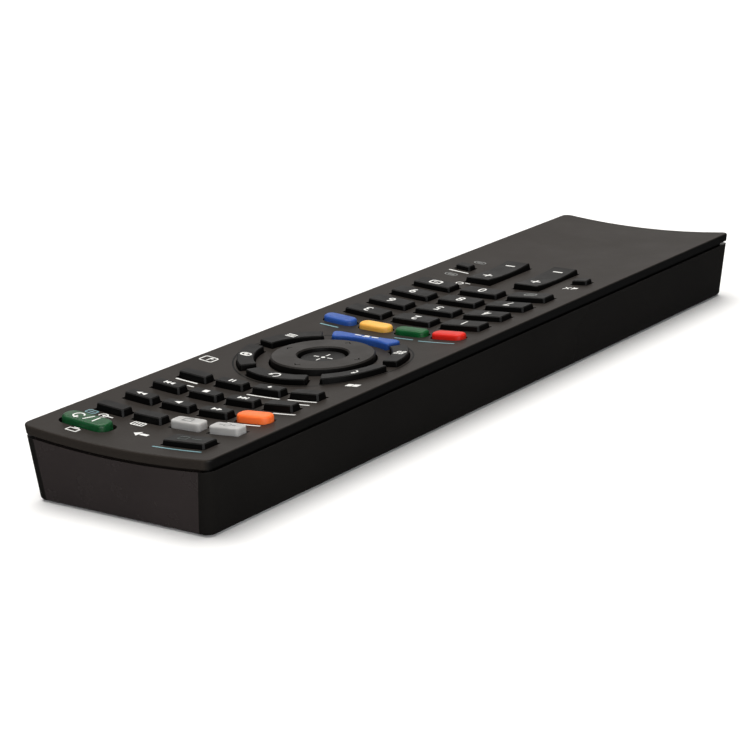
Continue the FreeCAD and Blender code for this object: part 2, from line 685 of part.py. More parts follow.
def break_edges(body, base, x, rise, floor, style):
    """Break or round the edge round a key's top. The key's middle is at x."""
    doc.recompute()
    lowest = value("%s + %s / 2 - %s" % (deck_height(x), rise, floor))
    kind, size = style
    return soften(body, base, kind, size, "top_edge", lambda middle, box: middle.z > lowest and lies_flat(box))


def bar_key(label, x, y, width, depth, corner, rise, style):
    """A straight key: flange, stem through the deck, leaning sides and a top that follows the deck."""
    body = new_body(label, x, y, FLANGE_BOTTOM)
    lip = S("key_lip")
    block(body, "flange", grown(width, lip), grown(depth, lip), S("flange_thickness"))
    foot = "%s - %s" % (deck_height(x), FLANGE_BOTTOM)
    if corner is None:
        block(body, "stem", width, depth, foot)
        top = break_uprights(body, leaning_cap(body, width, depth, x, rise, FLANGE_BOTTOM), foot)
    else:
        block(body, "stem", width, depth, "%s + %s + %s" % (foot, rise, S("cap_spare")), corner=corner)
        top = slope_top(body, width, x, rise, FLANGE_BOTTOM)
    break_edges(body, top, x, rise, FLANGE_BOTTOM, style)
    return keep(body)


def break_uprights(body, base, foot):
    """Break the upright corners of a cap."""
    doc.recompute()
    lowest = value(foot)
    return soften(
        body, base, "Chamfer", S("key_corner"), "upright_edges",
        lambda middle, box: middle.z > lowest and not lies_flat(box),
    )


def arc_key(label, turn, span, rise, far_edge=None):
    """A key curved about the navigation ring, turned to its place."""
    body = new_body(label, y=S("-nav_y"), z=FLANGE_BOTTOM)
    inner, outer, lip = S("arc_inner"), S("arc_outer"), S("key_lip")
    flange = new_sketch(body, "flange_outline", turn=turn)
    sector(flange, inner + " - " + lip, outer + " + " + lip, wider_span(span, lip))
    pad(body, flange, S("flange_thickness"), "flange")
    stem = new_sketch(body, "stem_outline", turn=turn)
    sector(stem, inner, outer, span)
    stem_height = "%s + %s + %s - %s" % (deck_height(outer), rise, S("cap_spare"), FLANGE_BOTTOM)
    top = pad(body, stem, stem_height, "stem")
    corner = S("arc_corner")
    if far_edge is not None:
        top = cavity(
            body, "straight_edge", "4 * " + outer, outer, outer, y="%s + %s / 2" % (far_edge, outer),
            z=S("flange_thickness"),
        )
        corner = S("home_corner")
    stem_from = value(S("flange_thickness + key_travel"))
    top = soften(
        body, top, "Fillet", corner, "corners",
        lambda middle, box: box.ZLength > stem_from and box.XLength + box.YLength < SAME,
    )
    top = hollow_top(body, rise, FLANGE_BOTTOM)
    break_edges(body, top, "0", rise, FLANGE_BOTTOM, BROKEN if far_edge is None else ROUNDED)
    return keep(body)


def wider_span(span, clearance):
    """A span in degrees with a clearance in millimetres added at both ends."""
    return "(%s + 360 / pi * (%s) / ((%s) / 2))" % (span, clearance, S("arc_inner + arc_outer"))


BROKEN = ("Chamfer", S("key_chamfer"))
WHITE = ("Chamfer", S("white_chamfer"))
ROUNDED = ("Fillet", S("pill_round"))

BLACK = (S("block_key_width"), S("block_key_depth"), None, S("block_key_rise"), BROKEN)
CLEAR = (S("block_key_width"), S("block_key_depth"), None, S("white_key_rise"), WHITE)
ORANGE = (S("orange_width"), S("orange_depth"), S("orange_corner"), S("orange_rise"), ROUNDED)
COLOUR = (S("colour_width"), S("colour_depth"), S("colour_corner"), S("colour_rise"), ROUNDED)
NUMBER = (S("number_width"), S("number_depth"), None, S("number_rise"), BROKEN)
SMALL = (S("small_width"), S("small_depth"), None, S("small_rise"), BROKEN)
POWER = (S("power_width"), S("power_depth"), S("power_corner"), S("power_rise"), ROUNDED)
INPUT = (S("input_width"), S("input_depth"), None, S("input_rise"), BROKEN)

bar_key("power_key", S("-power_x"), S("-first_row_y"), *POWER)
bar_key("input_key", S("input_x"), S("-first_row_y"), *INPUT)

MEDIA_KEYS = (
    (("scene_key", BLACK), ("format_key", BLACK), ("white_key_inner", CLEAR), ("white_key_outer", CLEAR)),
    (("fast_forward_key", BLACK), ("play_key", BLACK), ("rewind_key", BLACK), ("orange_key", ORANGE)),
    (("next_key", BLACK), ("stop_key", BLACK), ("previous_key", BLACK), ("list_key", BLACK)),
    (("subtitle_key", BLACK), ("pause_key", BLACK), ("record_key", BLACK), ("sound_key", BLACK)),
)
for row, keys in enumerate(MEDIA_KEYS):
    for column, (label, form) in enumerate(keys):
        x = S("(%s * block_pitch_x)" % (column - 1.5))
        bar_key(label, x, S("%d * block_pitch_y - block_first_y" % row), *form)

COLOUR_KEYS = ("blue_key", "yellow_key", "green_key", "red_key")
for column, label in enumerate(COLOUR_KEYS):
    bar_key(label, S("(%s * block_pitch_x)" % (column - 1.5)), S("-colour_y"), *COLOUR)

NUMBER_KEYS = (
    ("number_3", "number_2", "number_1"),
    ("number_6", "number_5", "number_4"),
    ("number_9", "number_8", "number_7"),
    ("display_key", "number_0", "text_key"),
)
for row, keys in enumerate(NUMBER_KEYS):
    for column, label in enumerate(keys):
        x = S("(%d * number_pitch_x)" % (column - 1))
        bar_key(label, x, S("%d * number_pitch_y - number_first_y" % row), *NUMBER)

bar_key("favourite_key", S("-small_x"), S("small_y"), *SMALL)
bar_key("mute_key", S("small_x"), S("small_y"), *SMALL)

ARC_KEYS = (
    ("guide_key", "-90", S("arc_top_span")),
    ("return_key", S("(arc_upper_turn - 90)"), S("arc_side_span")),
    ("options_key", S("(arc_lower_turn - 90)"), S("arc_side_span")),
    ("info_key", S("(-90 - arc_upper_turn)"), S("arc_side_span")),
    ("exit_key", S("(-90 - arc_lower_turn)"), S("arc_side_span")),
)
for label, turn, span in ARC_KEYS:
    arc_key(label, turn, span, S("arc_rise"))
arc_key("home_key", "90", S("home_span"), S("home_rise"), far_edge=S("home_far_edge"))


def rocker(label, side):
    """A rocker: full-length cap, shorter flange under it, top hollowed along its length."""
    x = "(%s * %s)" % (side, S("rocker_x"))
    body = new_body(label, x, S("rocker_y"), ROCKER_BOTTOM)
    width, length, lip, rise = S("rocker_width"), S("rocker_length"), S("key_lip"), S("rocker_rise")
    block(body, "flange", grown(width, lip), S("rocker_flange"), S("flange_thickness"))
    ends = "(%s + %s - %s)" % (COVER_UNDER, S("rocker_end_lift"), ROCKER_BOTTOM)
    block(body, "neck", width, S("rocker_flange"), "%s + %s" % (ends, S("rocker_neck")))
    stem = "(%s - %s)" % (deck_height(x), ROCKER_BOTTOM)
    block(body, "stem", width, length, "%s - %s" % (stem, ends), z=ends)
    leaning_cap(body, width, length, x, S("(rocker_rise + cap_spare)"), ROCKER_BOTTOM)
    hollow = S("((rocker_length ^ 2 / 4 + rocker_hollow ^ 2) / (2 * rocker_hollow))")
    lowest = "%s + %s - %s" % (stem, rise, S("rocker_hollow"))
    lengthwise = new_sketch(body, "lengthwise_hollow", "YZ_Plane", y="%s + %s" % (lowest, hollow))
    circle(lengthwise, hollow)
    top = pocket(body, lengthwise, "lengthwise")
    break_edges(body, top, x, rise, ROCKER_BOTTOM, BROKEN)
    return keep(body)


rocker("channel_rocker", "-1")
rocker("volume_rocker", "1")

# Navigation ring, the plate that it rocks on, and the button in its middle
ring = keep(new_body("nav_ring", y=S("-nav_y"), z=RING_BOTTOM))
ring_height = "%s - %s" % (RING_TOP, RING_BOTTOM)
solid_ring = post(ring, "solid_ring", (S("ring_radius"), S("ring_bore")), ring_height)
bore(ring, "hollow", (S("ring_radius - ring_skirt"), S("ring_bore + ring_skirt")), ring_height + S(" - ring_skin"))
for index, turn in enumerate(("0", "90", "180", "270")):
    sketch = new_sketch(ring, "notch_%d_outline" % index, z=ring_height + S(" - notch_depth"), turn=turn)
    tip = S("notch_radius + notch_length / 3")
    wing = S("notch_radius - notch_length / 6")
    half = S("notch_length / 2")
    arm = S("notch_width")
    polygon(
        sketch,
        (
            (tip, "0"),
            (wing, half),
            ("%s - %s" % (wing, arm), half),
            ("%s - %s" % (tip, arm), "0"),
            ("%s - %s" % (wing, arm), "-" + half),
            (wing, "-" + half),
        ),
    )
    notch = pocket(ring, sketch, "notch_%d" % index, S("notch_depth + cut_over"), up=True)
doc.recompute()
ring_top = value(ring_height)
bore_across = value(S("ring_bore"))
soften(
    ring, notch, "Chamfer", S("ring_chamfer"), "rim",
    lambda middle, box: abs(middle.z - ring_top) < SAME and box.XLength > bore_across,
)

base = keep(new_body("nav_ring_base", y=S("-nav_y"), z=BASE_BOTTOM))
post(base, "plate", (S("base_outer"), S("base_inner")), S("base_thickness"))
RIDGE_RADIUS = S("(ring_radius - ring_skirt / 2)")
ridge = block(
    base, "ridge", S("ridge_width"), S("ridge_length"), BASE_RIDGE, y="-" + RIDGE_RADIUS, z=S("base_thickness")
)
rows_and_columns(base, ridge, "ridges", along=("2 * " + RIDGE_RADIUS, 2))

button = keep(new_body("centre_button", y=S("-nav_y"), z=OK_BOTTOM))
post(button, "flange", (S("ok_flange_radius"),), "%s - %s - %s" % (RING_BOTTOM, OK_BOTTOM, FLANGE_GAP))
button_height = "%s - %s - %s" % (RING_TOP, S("ok_drop"), OK_BOTTOM)
cap = post(button, "cap", (S("ok_radius"),), button_height)
doc.recompute()
soften(
    button, cap, "Chamfer", S("ring_chamfer"), "rim",
    lambda middle, box: abs(middle.z - value(button_height)) < SAME,
)

# Top cover: a dished plate that follows the deck, with an inner rim and a hole for every key
cover = keep(new_body("top_cover"))
outer_form(cover)
deck = pocket(cover, dish_sketch(cover, "deck_line", DECK_RADIUS), "deck")
deck_edge = value(DECK_LOW) - SAME
soften(
    cover, deck, "Fillet", S("deck_edge_round"), "deck_edge",
    lambda middle, box: middle.z > deck_edge and box.ZLength < value(S("2 * deck_dish")),
)
UNDER_RADIUS = "%s + %s" % (DECK_RADIUS, S("cover_edge"))
under = dish_sketch(cover, "edge_line", UNDER_RADIUS, "%s + 2 * %s" % (UNDER_RADIUS, S("side_height")))
pocket(cover, under, "edge")
TONGUE_WIDTH = S("(body_width - 2 * rim_inset)")
TONGUE_LENGTH = S("(body_length - 2 * rim_inset)")
TONGUE_CORNER = S("tongue_corner")
HOOK_HEIGHT_FROM = S("(ledge_height + hook_rise)")
block(
    cover, "rim", TONGUE_WIDTH, TONGUE_LENGTH, "%s + %s - %s" % (COVER_UNDER, S("cover_edge / 2"), S("ledge_height")),
    z=S("ledge_height"), corner=TONGUE_CORNER,
)
hook = block(
    cover, "hook", grown(TONGUE_WIDTH, S("hook_depth")), S("hook_length"), S("hook_height"),
    y=S("-2 * hook_pitch"), z=HOOK_HEIGHT_FROM,
)
rows_and_columns(cover, hook, "hooks", along=(S("4 * hook_pitch"), 5))
INWARD = "-" + S("tongue_thickness")
cavity(
    cover, "inside", grown(TONGUE_WIDTH, INWARD), grown(TONGUE_LENGTH, INWARD),
    "%s - %s" % (COVER_UNDER, S("ledge_height")), z=S("ledge_height"), corner=S("tongue_inner_corner"),
)
BOSS_UNDER = S("(screw_boss_top + boss_gap)")
cover_boss = post(
    cover, "screw_boss", (S("cover_boss"), S("screw_radius + screw_clearance")),
    "%s - %s" % (COVER_UNDER, BOSS_UNDER), x=S("-screw_x"), y=S("screw_y"), z=BOSS_UNDER,
)
rows_and_columns(cover, cover_boss, "screw_bosses", across=(S("2 * screw_x"), 2))

GAP = S("key_gap")


def key_hole(name, form, x, y, across=None, along=None):
    """The hole, or the rows of holes, for keys of one form."""
    width, depth, corner = form[:3]
    if corner is not None:
        corner = "(%s + %s)" % (corner, GAP)
    cut = hole(cover, name, grown(width, GAP), grown(depth, GAP), x, y, corner)
    if across is not None or along is not None:
        rows_and_columns(cover, cut, name + "s", across, along)


ring_hole = new_sketch(cover, "ring_hole_outline", y=S("-nav_y"))
circle(ring_hole, S("ring_radius + ring_gap"))
pocket(cover, ring_hole, "ring_hole")
HOLE_INNER = S("arc_inner - key_gap")
HOLE_OUTER = S("arc_outer + key_gap")
for label, turn, span in ARC_KEYS + (("home_key", "90", S("home_span")),):
    sketch = new_sketch(cover, label + "_hole_outline", y=S("-nav_y"), turn=turn)
    sector(sketch, HOLE_INNER, HOLE_OUTER, wider_span(span, GAP))
    pocket(cover, sketch, label + "_hole")
key_hole("power_hole", POWER, S("-power_x"), S("-first_row_y"))
key_hole("input_hole", INPUT, S("input_x"), S("-first_row_y"))
key_hole("orange_hole", ORANGE, S("1.5 * block_pitch_x"), S("block_pitch_y - block_first_y"))
key_hole("small_hole", SMALL, S("-small_x"), S("small_y"), (S("2 * small_x"), 2))
rocker_hole = hole(
    cover, "rocker_hole", grown(S("rocker_width"), S("rocker_gap")), grown(S("rocker_length"), S("rocker_gap")),
    S("-rocker_x"), S("rocker_y"),
)
rows_and_columns(cover, rocker_hole, "rocker_holes", across=(S("2 * rocker_x"), 2))
key_hole("colour_hole", COLOUR, S("-1.5 * block_pitch_x"), S("-colour_y"), (S("3 * block_pitch_x"), 4))
key_hole("number_hole", NUMBER, S("-number_pitch_x"), S("-number_first_y"),
         (S("2 * number_pitch_x"), 3), (S("3 * number_pitch_y"), 4))
key_hole("media_hole", BLACK, S("-1.5 * block_pitch_x"), S("-block_first_y"),
         (S("3 * block_pitch_x"), 4), (S("3 * block_pitch_y"), 4))

# Rear cover: leaning walls, floor, battery bay and the open end for the infrared window
rear = keep(new_body("rear_cover"))
outer_form(rear, base_edge=True)
RIM_RADIUS = "%s + %s" % (UNDER_RADIUS, S("seam_gap"))
pocket(rear, dish_sketch(rear, "rim_line", RIM_RADIUS), "rim")
room = leaning_profile(rear, "inside_line", S("floor_thickness"), S("side_height"), S("side_wall"))
pocket(rear, room, "inside", "2 * " + INNER_END, both=True)
SEAT = S("tongue_clearance")
cavity(
    rear, "rabbet", grown(TONGUE_WIDTH, SEAT), grown(TONGUE_LENGTH, SEAT), S("side_height"), z=S("ledge_height"),
    corner=TONGUE_CORNER,
)
NOTCH_DEPTH = S("(hook_depth + tongue_clearance)")
hook_notch = cavity(
    rear, "hook_notch", grown(TONGUE_WIDTH, NOTCH_DEPTH), grown(S("hook_length"), SEAT),
    grown(S("hook_height"), SEAT), y=S("-2 * hook_pitch"), z="%s - %s" % (HOOK_HEIGHT_FROM, SEAT),
)
rows_and_columns(rear, hook_notch, "hook_notches", along=(S("4 * hook_pitch"), 5))


def window_plate(body, name, clearance, low):
    """The window's outline between the corner posts, at the window's back."""
    back = "%s - %s" % (WINDOW_BACK, clearance)
    return leaning_profile(body, name + "_line", low, S("side_height"), S("pillar_width"), clearance, z=back)


def window_flange(body, name, clearance):
    """The outline of the flange behind the corner posts."""
    low = "%s + %s - (%s)" % (S("floor_thickness"), FIT, clearance)
    high = "%s - %s + (%s)" % (S("ledge_height"), FIT, clearance)
    inset = S("(pillar_width - window_flange_overlap)")
    back = "%s + %s" % (WINDOW_BACK, clearance)
    return leaning_profile(body, name + "_line", low, high, inset, clearance, z=back)


FIT = S("window_clearance")
PLATE_DEPTH = "(%s - %s)" % (S("body_length / 2"), WINDOW_BACK)
opening = window_plate(rear, "window_opening", FIT, "-" + OVER)
pocket(rear, opening, "window_opening", "%s + %s" % (PLATE_DEPTH, OVER), up=True)
pocket(rear, window_flange(rear, "window_slot", FIT), "window_slot", S("window_flange + window_slot_spare"))

BAY_FRONT = S("(bay_tail - 2 * plate_thickness - spring_length - cell_length - cell_nub)")
BAY_LENGTH = "(%s - %s)" % (S("bay_tail"), BAY_FRONT)
BAY_HALF = S("(cell_x + cell_radius + 2 * cell_clearance)")
BAY_MIDDLE = "((%s + %s) / 2)" % (S("bay_tail"), BAY_FRONT)
DOOR_TOP = S("(door_recess + door_thickness)")
DOOR_ROOM = "(%s + %s)" % (DOOR_TOP, S("door_recess"))
FLOOR_TOP = "(%s + %s)" % (DOOR_ROOM, S("rail_height"))
DOOR_END = S("(body_length / 2 + cut_over)")
RAIL_HALF = S("(door_width / 2 + door_tongue + door_clearance)")
BLOCK_TAIL = S("(body_length / 2 - rim_inset - tongue_thickness - tongue_clearance)")
RAIL_FRONT = S("(door_front - door_tongue - door_clearance - rail_margin)")
WALL_FROM = S("(floor_thickness / 2)")


def span_block(make, name, half, front, tail, z, height, **more):
    """A block or cavity between two lines across the remote."""
    return make(
        rear, name, "2 * " + half, "%s - %s" % (tail, front), height, y="(%s + %s) / 2" % (tail, front), z=z, **more
    )


span_block(block, "raised_floor", "(%s + %s)" % (RAIL_HALF, S("rail_margin")), RAIL_FRONT, BLOCK_TAIL, WALL_FROM,
           "%s - %s" % (FLOOR_TOP, WALL_FROM))
span_block(block, "bay_walls", "(%s + %s)" % (BAY_HALF, S("bay_side")), "(%s - %s)" % (BAY_FRONT, S("bay_wall")),
           BLOCK_TAIL, WALL_FROM, "%s + %s - %s" % (ROOF_UNDER, S("bay_roof"), WALL_FROM))
rear_boss = post(
    rear, "screw_boss", (S("screw_boss"),), "%s - %s" % (S("screw_boss_top"), WALL_FROM),
    x=S("-screw_x"), y=S("screw_y"), z=WALL_FROM,
)
rows_and_columns(rear, rear_boss, "screw_bosses", across=(S("2 * screw_x"), 2))
board_post = post(
    rear, "board_post", (S("board_post_radius"),), "%s - %s" % (BOARD_BOTTOM, WALL_FROM),
    x=S("-board_post_x"), y=S("-board_post_first"), z=WALL_FROM,
)
rows_and_columns(rear, board_post, "board_posts", (S("2 * board_post_x"), 2), (S("board_post_pitch"), 2))
peg = post(
    rear, "peg", (S("board_peg_radius"),), "%s - %s - %s" % (BOARD_TOP, S("board_peg_drop"), WALL_FROM),
    x=S("-board_post_x"), y=S("-board_post_first"), z=WALL_FROM,
)
rows_and_columns(rear, peg, "pegs", (S("2 * board_post_x"), 2), (S("board_post_pitch"), 2))
span_block(cavity, "bay", BAY_HALF, BAY_FRONT, S("bay_tail"), "-" + OVER, "%s + %s" % (ROOF_UNDER, OVER))
span_block(cavity, "door_opening", S("(door_width / 2 + door_clearance)"), S("(door_front - door_clearance)"),
           DOOR_END, "-" + OVER, "%s + %s" % (DOOR_ROOM, OVER))
RAIL_UNDER = "(%s - %s)" % (DOOR_TOP, S("(door_tongue_height + door_recess)"))
span_block(cavity, "door_rails", RAIL_HALF, S("(door_front - door_tongue - door_clearance)"), DOOR_END, RAIL_UNDER,
           "%s - %s" % (DOOR_ROOM, RAIL_UNDER))
head_room = bore(
    rear, "head_room", (S("screw_head_radius + screw_head_room"),), S("screw_seat"), x=S("-screw_x"),
    y=S("screw_y"), z="0",
)
rows_and_columns(rear, head_room, "head_rooms", across=(S("2 * screw_x"), 2))
shank_room = bore(
    rear, "shank_room", (S("screw_radius + screw_clearance"),), S("screw_boss_top"), x=S("-screw_x"),
    y=S("screw_y"), z="0",
)
rows_and_columns(rear, shank_room, "shank_rooms", across=(S("2 * screw_x"), 2))

# Infrared window: leaning plate that closes the end, with a flange behind the corner posts
window = keep(new_body("ir_window"))
pad(window, window_plate(window, "plate", "0", "0"), PLATE_DEPTH, "plate")
plate = lean_end(window, "infrared_end", -1, "front_inset")
front_line = -value(S("body_length / 2 - front_inset"))
soften(
    window, plate, "Fillet", S("base_edge_round"), "base_edge",
    lambda middle, box: abs(middle.z) < SAME and abs(middle.y - front_line) < SAME,
)
pad(window, window_flange(window, "flange", "0"), S("window_flange"), "flange", down=True)
pocket(window, dish_sketch(window, "rim_line", RIM_RADIUS), "rim")
cavity(
    window, "rabbet", grown(TONGUE_WIDTH, SEAT), grown(TONGUE_LENGTH, SEAT), S("side_height"), z=S("ledge_height"),
    corner=TONGUE_CORNER,
)

# Battery door: the same outside form, cut down to the door's plan, with tongues along its sides
door = keep(new_body("battery_door"))
outer_form(door, base_edge=True)
cavity(door, "above", S("3 * body_length"), S("3 * body_length"), S("2 * side_height"), z=DOOR_TOP)
cavity(door, "below", S("3 * body_length"), S("3 * body_length"), S("door_recess + cut_over"), z="-" + OVER)
plan = new_sketch(door, "plan", y="(%s + %s) / 2" % (S("door_front"), DOOR_END))
rectangle(plan, S("door_width"), "%s - %s" % (DOOR_END, S("door_front")))
rectangle(plan, S("4 * body_length"), S("4 * body_length"))
pocket(door, plan, "plan_cut")
TONGUE_TAIL = S("(bay_tail - door_tongue_end)")
TONGUE_FRONT = S("(door_front - door_tongue)")
block(
    door, "tongues", S("(door_width + 2 * door_tongue)"), "%s - %s" % (TONGUE_TAIL, TONGUE_FRONT),
    S("door_tongue_height"), y="(%s + %s) / 2" % (TONGUE_TAIL, TONGUE_FRONT),
    z="%s - %s" % (DOOR_TOP, S("door_tongue_height")),
)
grip = cavity(
    door, "grip", S("grip_width"), S("grip_groove"), S("grip_depth + cut_over"), y=S("grip_y"),
    z=S("door_recess - cut_over"),
)
rows_and_columns(door, grip, "grips", along=(S("4 * grip_pitch"), 5))

# Circuit board and keypad mat
BOARD_LENGTH = S("(board_front + board_tail)")
BOARD_MIDDLE = S("((board_tail - board_front) / 2)")
SLOT_MIDDLE = S("((led_slot_length - cut_over) / 2 - board_front)")
SLOT_CUT = S("(led_slot_length + cut_over)")
board = keep(new_body("circuit_board", y=BOARD_MIDDLE, z=BOARD_BOTTOM))
block(board, "sheet", S("board_width"), BOARD_LENGTH, S("board_thickness"), corner=S("board_corner"))
led_slot = new_sketch(board, "led_slot_outline", y="%s - %s" % (SLOT_MIDDLE, BOARD_MIDDLE))
rectangle(led_slot, S("led_slot_width"), SLOT_CUT)
pocket(board, led_slot, "led_slot")
peg_y = "-%s - %s" % (S("board_post_first"), BOARD_MIDDLE)
peg_hole = new_sketch(board, "peg_hole_outline", x=S("-board_post_x"), y=peg_y)
circle(peg_hole, S("board_peg_radius + board_peg_clearance"))
peg_cut = pocket(board, peg_hole, "peg_hole")
rows_and_columns(board, peg_cut, "peg_holes", (S("2 * board_post_x"), 2), (S("board_post_pitch"), 2))

mat = keep(new_body("keypad_mat", z=BOARD_TOP))
THICK = S("mat_thickness")
block(mat, "sheet", S("mat_width"), BOARD_LENGTH, THICK, y=BOARD_MIDDLE, corner=S("board_corner"))
led_slot = new_sketch(mat, "led_slot_outline", y=SLOT_MIDDLE)
rectangle(led_slot, S("led_slot_width"), SLOT_CUT)
pocket(mat, led_slot, "led_slot")


def domes(name, x, y, across=None, along=None):
    """The raised pad, or the rows of pads, under keys."""
    dome = block(mat, name, S("dome_width"), S("dome_depth"), S("dome_height"), x=x, y=y, z=THICK)
    if across is not None or along is not None:
        rows_and_columns(mat, dome, name + "s", across, along)


domes("power_dome", S("-power_x"), S("-first_row_y"))
domes("input_dome", S("input_x"), S("-first_row_y"))
domes("media_dome", S("-1.5 * block_pitch_x"), S("-block_first_y"),
      (S("3 * block_pitch_x"), 4), (S("3 * block_pitch_y"), 4))
domes("colour_dome", S("-1.5 * block_pitch_x"), S("-colour_y"), (S("3 * block_pitch_x"), 4))
domes("number_dome", S("-number_pitch_x"), S("-number_first_y"),
      (S("2 * number_pitch_x"), 3), (S("3 * number_pitch_y"), 4))
domes("small_dome", S("-small_x"), S("small_y"), (S("2 * small_x"), 2))
domes("rocker_dome", S("-rocker_x"), S("rocker_y - rocker_pad"), (S("2 * rocker_x"), 2), (S("2 * rocker_pad"), 2))
for label, turn in [(name, turn) for name, turn, span in ARC_KEYS] + [("home_key", "90")]:
    middle = S("((arc_inner + arc_outer) / 2)")
    domes(label + "_dome", "%s * cos((%s) * 1 deg)" % (middle, turn),
          "%s * sin((%s) * 1 deg) - %s" % (middle, turn, S("nav_y")))
rocker_ridge = block(
    mat, "rocker_ridge", S("rocker_width - 2 * rocker_ridge_inset"), S("rocker_ridge"),
    "%s - %s - %s" % (ROCKER_BOTTOM, MAT_TOP, S("key_play")), x=S("-rocker_x"), y=S("rocker_y"), z=THICK,
)
rows_and_columns(mat, rocker_ridge, "rocker_ridges", across=(S("2 * rocker_x"), 2))
bore(mat, "nav_well", (S("nav_well"),), THICK, y=S("-nav_y"), z=S("nav_web"))
post(mat, "centre_dome", (S("dome_width / 2"),), S("ok_dome"), y=S("-nav_y"), z=S("nav_web"))
mat_ridge = block(
    mat, "ring_ridge", S("ridge_length"), S("ridge_width"), MAT_RIDGE, x="-" + RIDGE_RADIUS, y=S("-nav_y"),
    z=S("nav_web"),
)
rows_and_columns(mat, mat_ridge, "ring_ridges", across=("2 * " + RIDGE_RADIUS, 2))

# Parts under the board
chip = keep(new_body("controller_chip", y=S("-chip_y"), z=BOARD_BOTTOM))
block(
    chip, "package", S("chip_width"), S("chip_length"), S("chip_thickness"), z=S("-chip_thickness - chip_standoff"),
    corner=S("chip_corner"),
)
leg_outline = new_sketch(chip, "leg_outline", "XZ_Plane", z=S("3.5 * chip_leg_pitch"))
LEG_OUT = S("(chip_width / 2 + chip_leg_reach)")
LEG_IN = "(%s - %s)" % (LEG_OUT, S("chip_leg_sheet"))
LEG_LOW = S("(-chip_thickness / 2)")
LEG_HIGH = "(%s + %s)" % (LEG_LOW, S("chip_leg_sheet"))
polygon(
    leg_outline,
    (
        ("-" + LEG_OUT, "0"),
        ("-" + LEG_OUT, LEG_LOW),
        (LEG_OUT, LEG_LOW),
        (LEG_OUT, "0"),
        (LEG_IN, "0"),
        (LEG_IN, LEG_HIGH),
        ("-" + LEG_IN, LEG_HIGH),
        ("-" + LEG_IN, "0"),
    ),
)
leg = pad(chip, leg_outline, S("chip_leg"), "leg", both=True)
rows_and_columns(chip, leg, "legs", along=(S("7 * chip_leg_pitch"), 8))

RESONATOR_LOW = "%s - %s" % (BOARD_BOTTOM, S("resonator_height"))
resonator = keep(new_body("resonator", S("resonator_x"), S("-resonator_y"), RESONATOR_LOW))
block(
    resonator, "case", S("resonator_width"), S("resonator_depth"), S("resonator_height"),
    corner=S("resonator_corner"),
)


def cylinder(name, radius, length, x, y, z, along="Z"):
    """A round bar that starts at a place and runs along an axis."""
    bar = doc.addObject("Part::Cylinder", name)
    bar.setExpression("Radius", radius)
    bar.setExpression("Height", length)
    if along == "Y":
        bar.Placement.Rotation = FreeCAD.Rotation(FreeCAD.Vector(1, 0, 0), -90)
    for axis, expression in (("x", x), ("y", y), ("z", z)):
        if expression != "0":
            bar.setExpression("Placement.Base." + axis, expression)
    return bar


def box(name, width, depth, height, x, y, z):
    """A block centred on x that starts at y and z."""
    part = doc.addObject("Part::Box", name)
    for side, expression in (("Length", width), ("Width", depth), ("Height", height)):
        part.setExpression(side, expression)
    for axis, expression in (("x", "%s - (%s) / 2" % (x, width)), ("y", y), ("z", z)):
        if expression != "0":
            part.setExpression("Placement.Base." + axis, expression)
    return part


def joined(label, pieces, kind="Part::MultiFuse"):
    """Several primitives as one piece or, as a compound, as one group."""
    group = doc.addObject(kind, label)
    group.Label = label
    setattr(group, "Links" if kind == "Part::Compound" else "Shapes", pieces)
    return group


LED_AXIS = "(%s - %s)" % (BOARD_BOTTOM, S("led_lead / 2"))
LED_FACE = "(%s - %s - %s)" % (WINDOW_BACK, S("window_flange"), S("led_gap"))
NOSE_BACK = "(%s - %s)" % (LED_FACE, S("led_radius"))
led_nose = doc.addObject("Part::Cone", "led_nose")
led_nose.Placement.Rotation = FreeCAD.Rotation(FreeCAD.Vector(1, 0, 0), 90)
led_nose.setExpression("Radius1", S("led_radius"))
led_nose.setExpression("Radius2", S("led_nose"))
led_nose.setExpression("Height", S("led_radius"))
led_nose.setExpression("Placement.Base.y", "-" + NOSE_BACK)
led_nose.setExpression("Placement.Base.z", LED_AXIS)
LED_BACK = "(%s - %s)" % (NOSE_BACK, S("led_body"))
LEAD_END = S("(led_slot_length + led_lead_reach - board_front)")
led_pieces = [
    led_nose,
    cylinder("led_barrel", S("led_radius"), S("led_body"), "0", "-" + NOSE_BACK, LED_AXIS, "Y"),
    cylinder("led_rim", S("led_rim_radius"), S("led_rim"), "0", "-%s - %s" % (LED_BACK, S("led_rim")), LED_AXIS, "Y"),
]
ROOT = S("led_root")
for side in (-1, 1):
    led_pieces.append(
        box("led_lead_%d" % (side + 2), S("led_lead"), "%s + %s + %s" % (LEAD_END, LED_BACK, ROOT), S("led_lead"),
            S("%s * led_lead_pitch / 2" % side), "-%s - %s" % (LED_BACK, ROOT),
            "%s - %s" % (LED_AXIS, S("led_lead / 2")))
    )
keep(joined("ir_led", led_pieces))

# Two cells that lie the opposite way round, their springs and plates
SPRING_END = {-1: "(%s + %s)" % (BAY_FRONT, S("plate_thickness")), 1: S("(bay_tail - plate_thickness)")}
cells = []
for side in (-1, 1):
    x = S("%s * cell_x" % side)
    if side == -1:
        start = "(%s + %s)" % (SPRING_END[-1], S("spring_length"))
        nub = "(%s + %s)" % (start, S("cell_length - cell_nub"))
    else:
        start = "(%s - %s)" % (SPRING_END[1], S("(spring_length + cell_length)"))
        nub = "(%s - %s)" % (start, S("cell_nub"))
    can = cylinder("can_%d" % (side + 2), S("cell_radius"), S("cell_length"), x, start, CELL_HEIGHT, "Y")
    tip = cylinder("nub_%d" % (side + 2), S("cell_nub_radius"), S("2 * cell_nub"), x, nub, CELL_HEIGHT, "Y")
    cells.append(joined("cell_%d" % (side + 2), [can, tip]))
keep(joined("battery_cells", cells, "Part::Compound"))

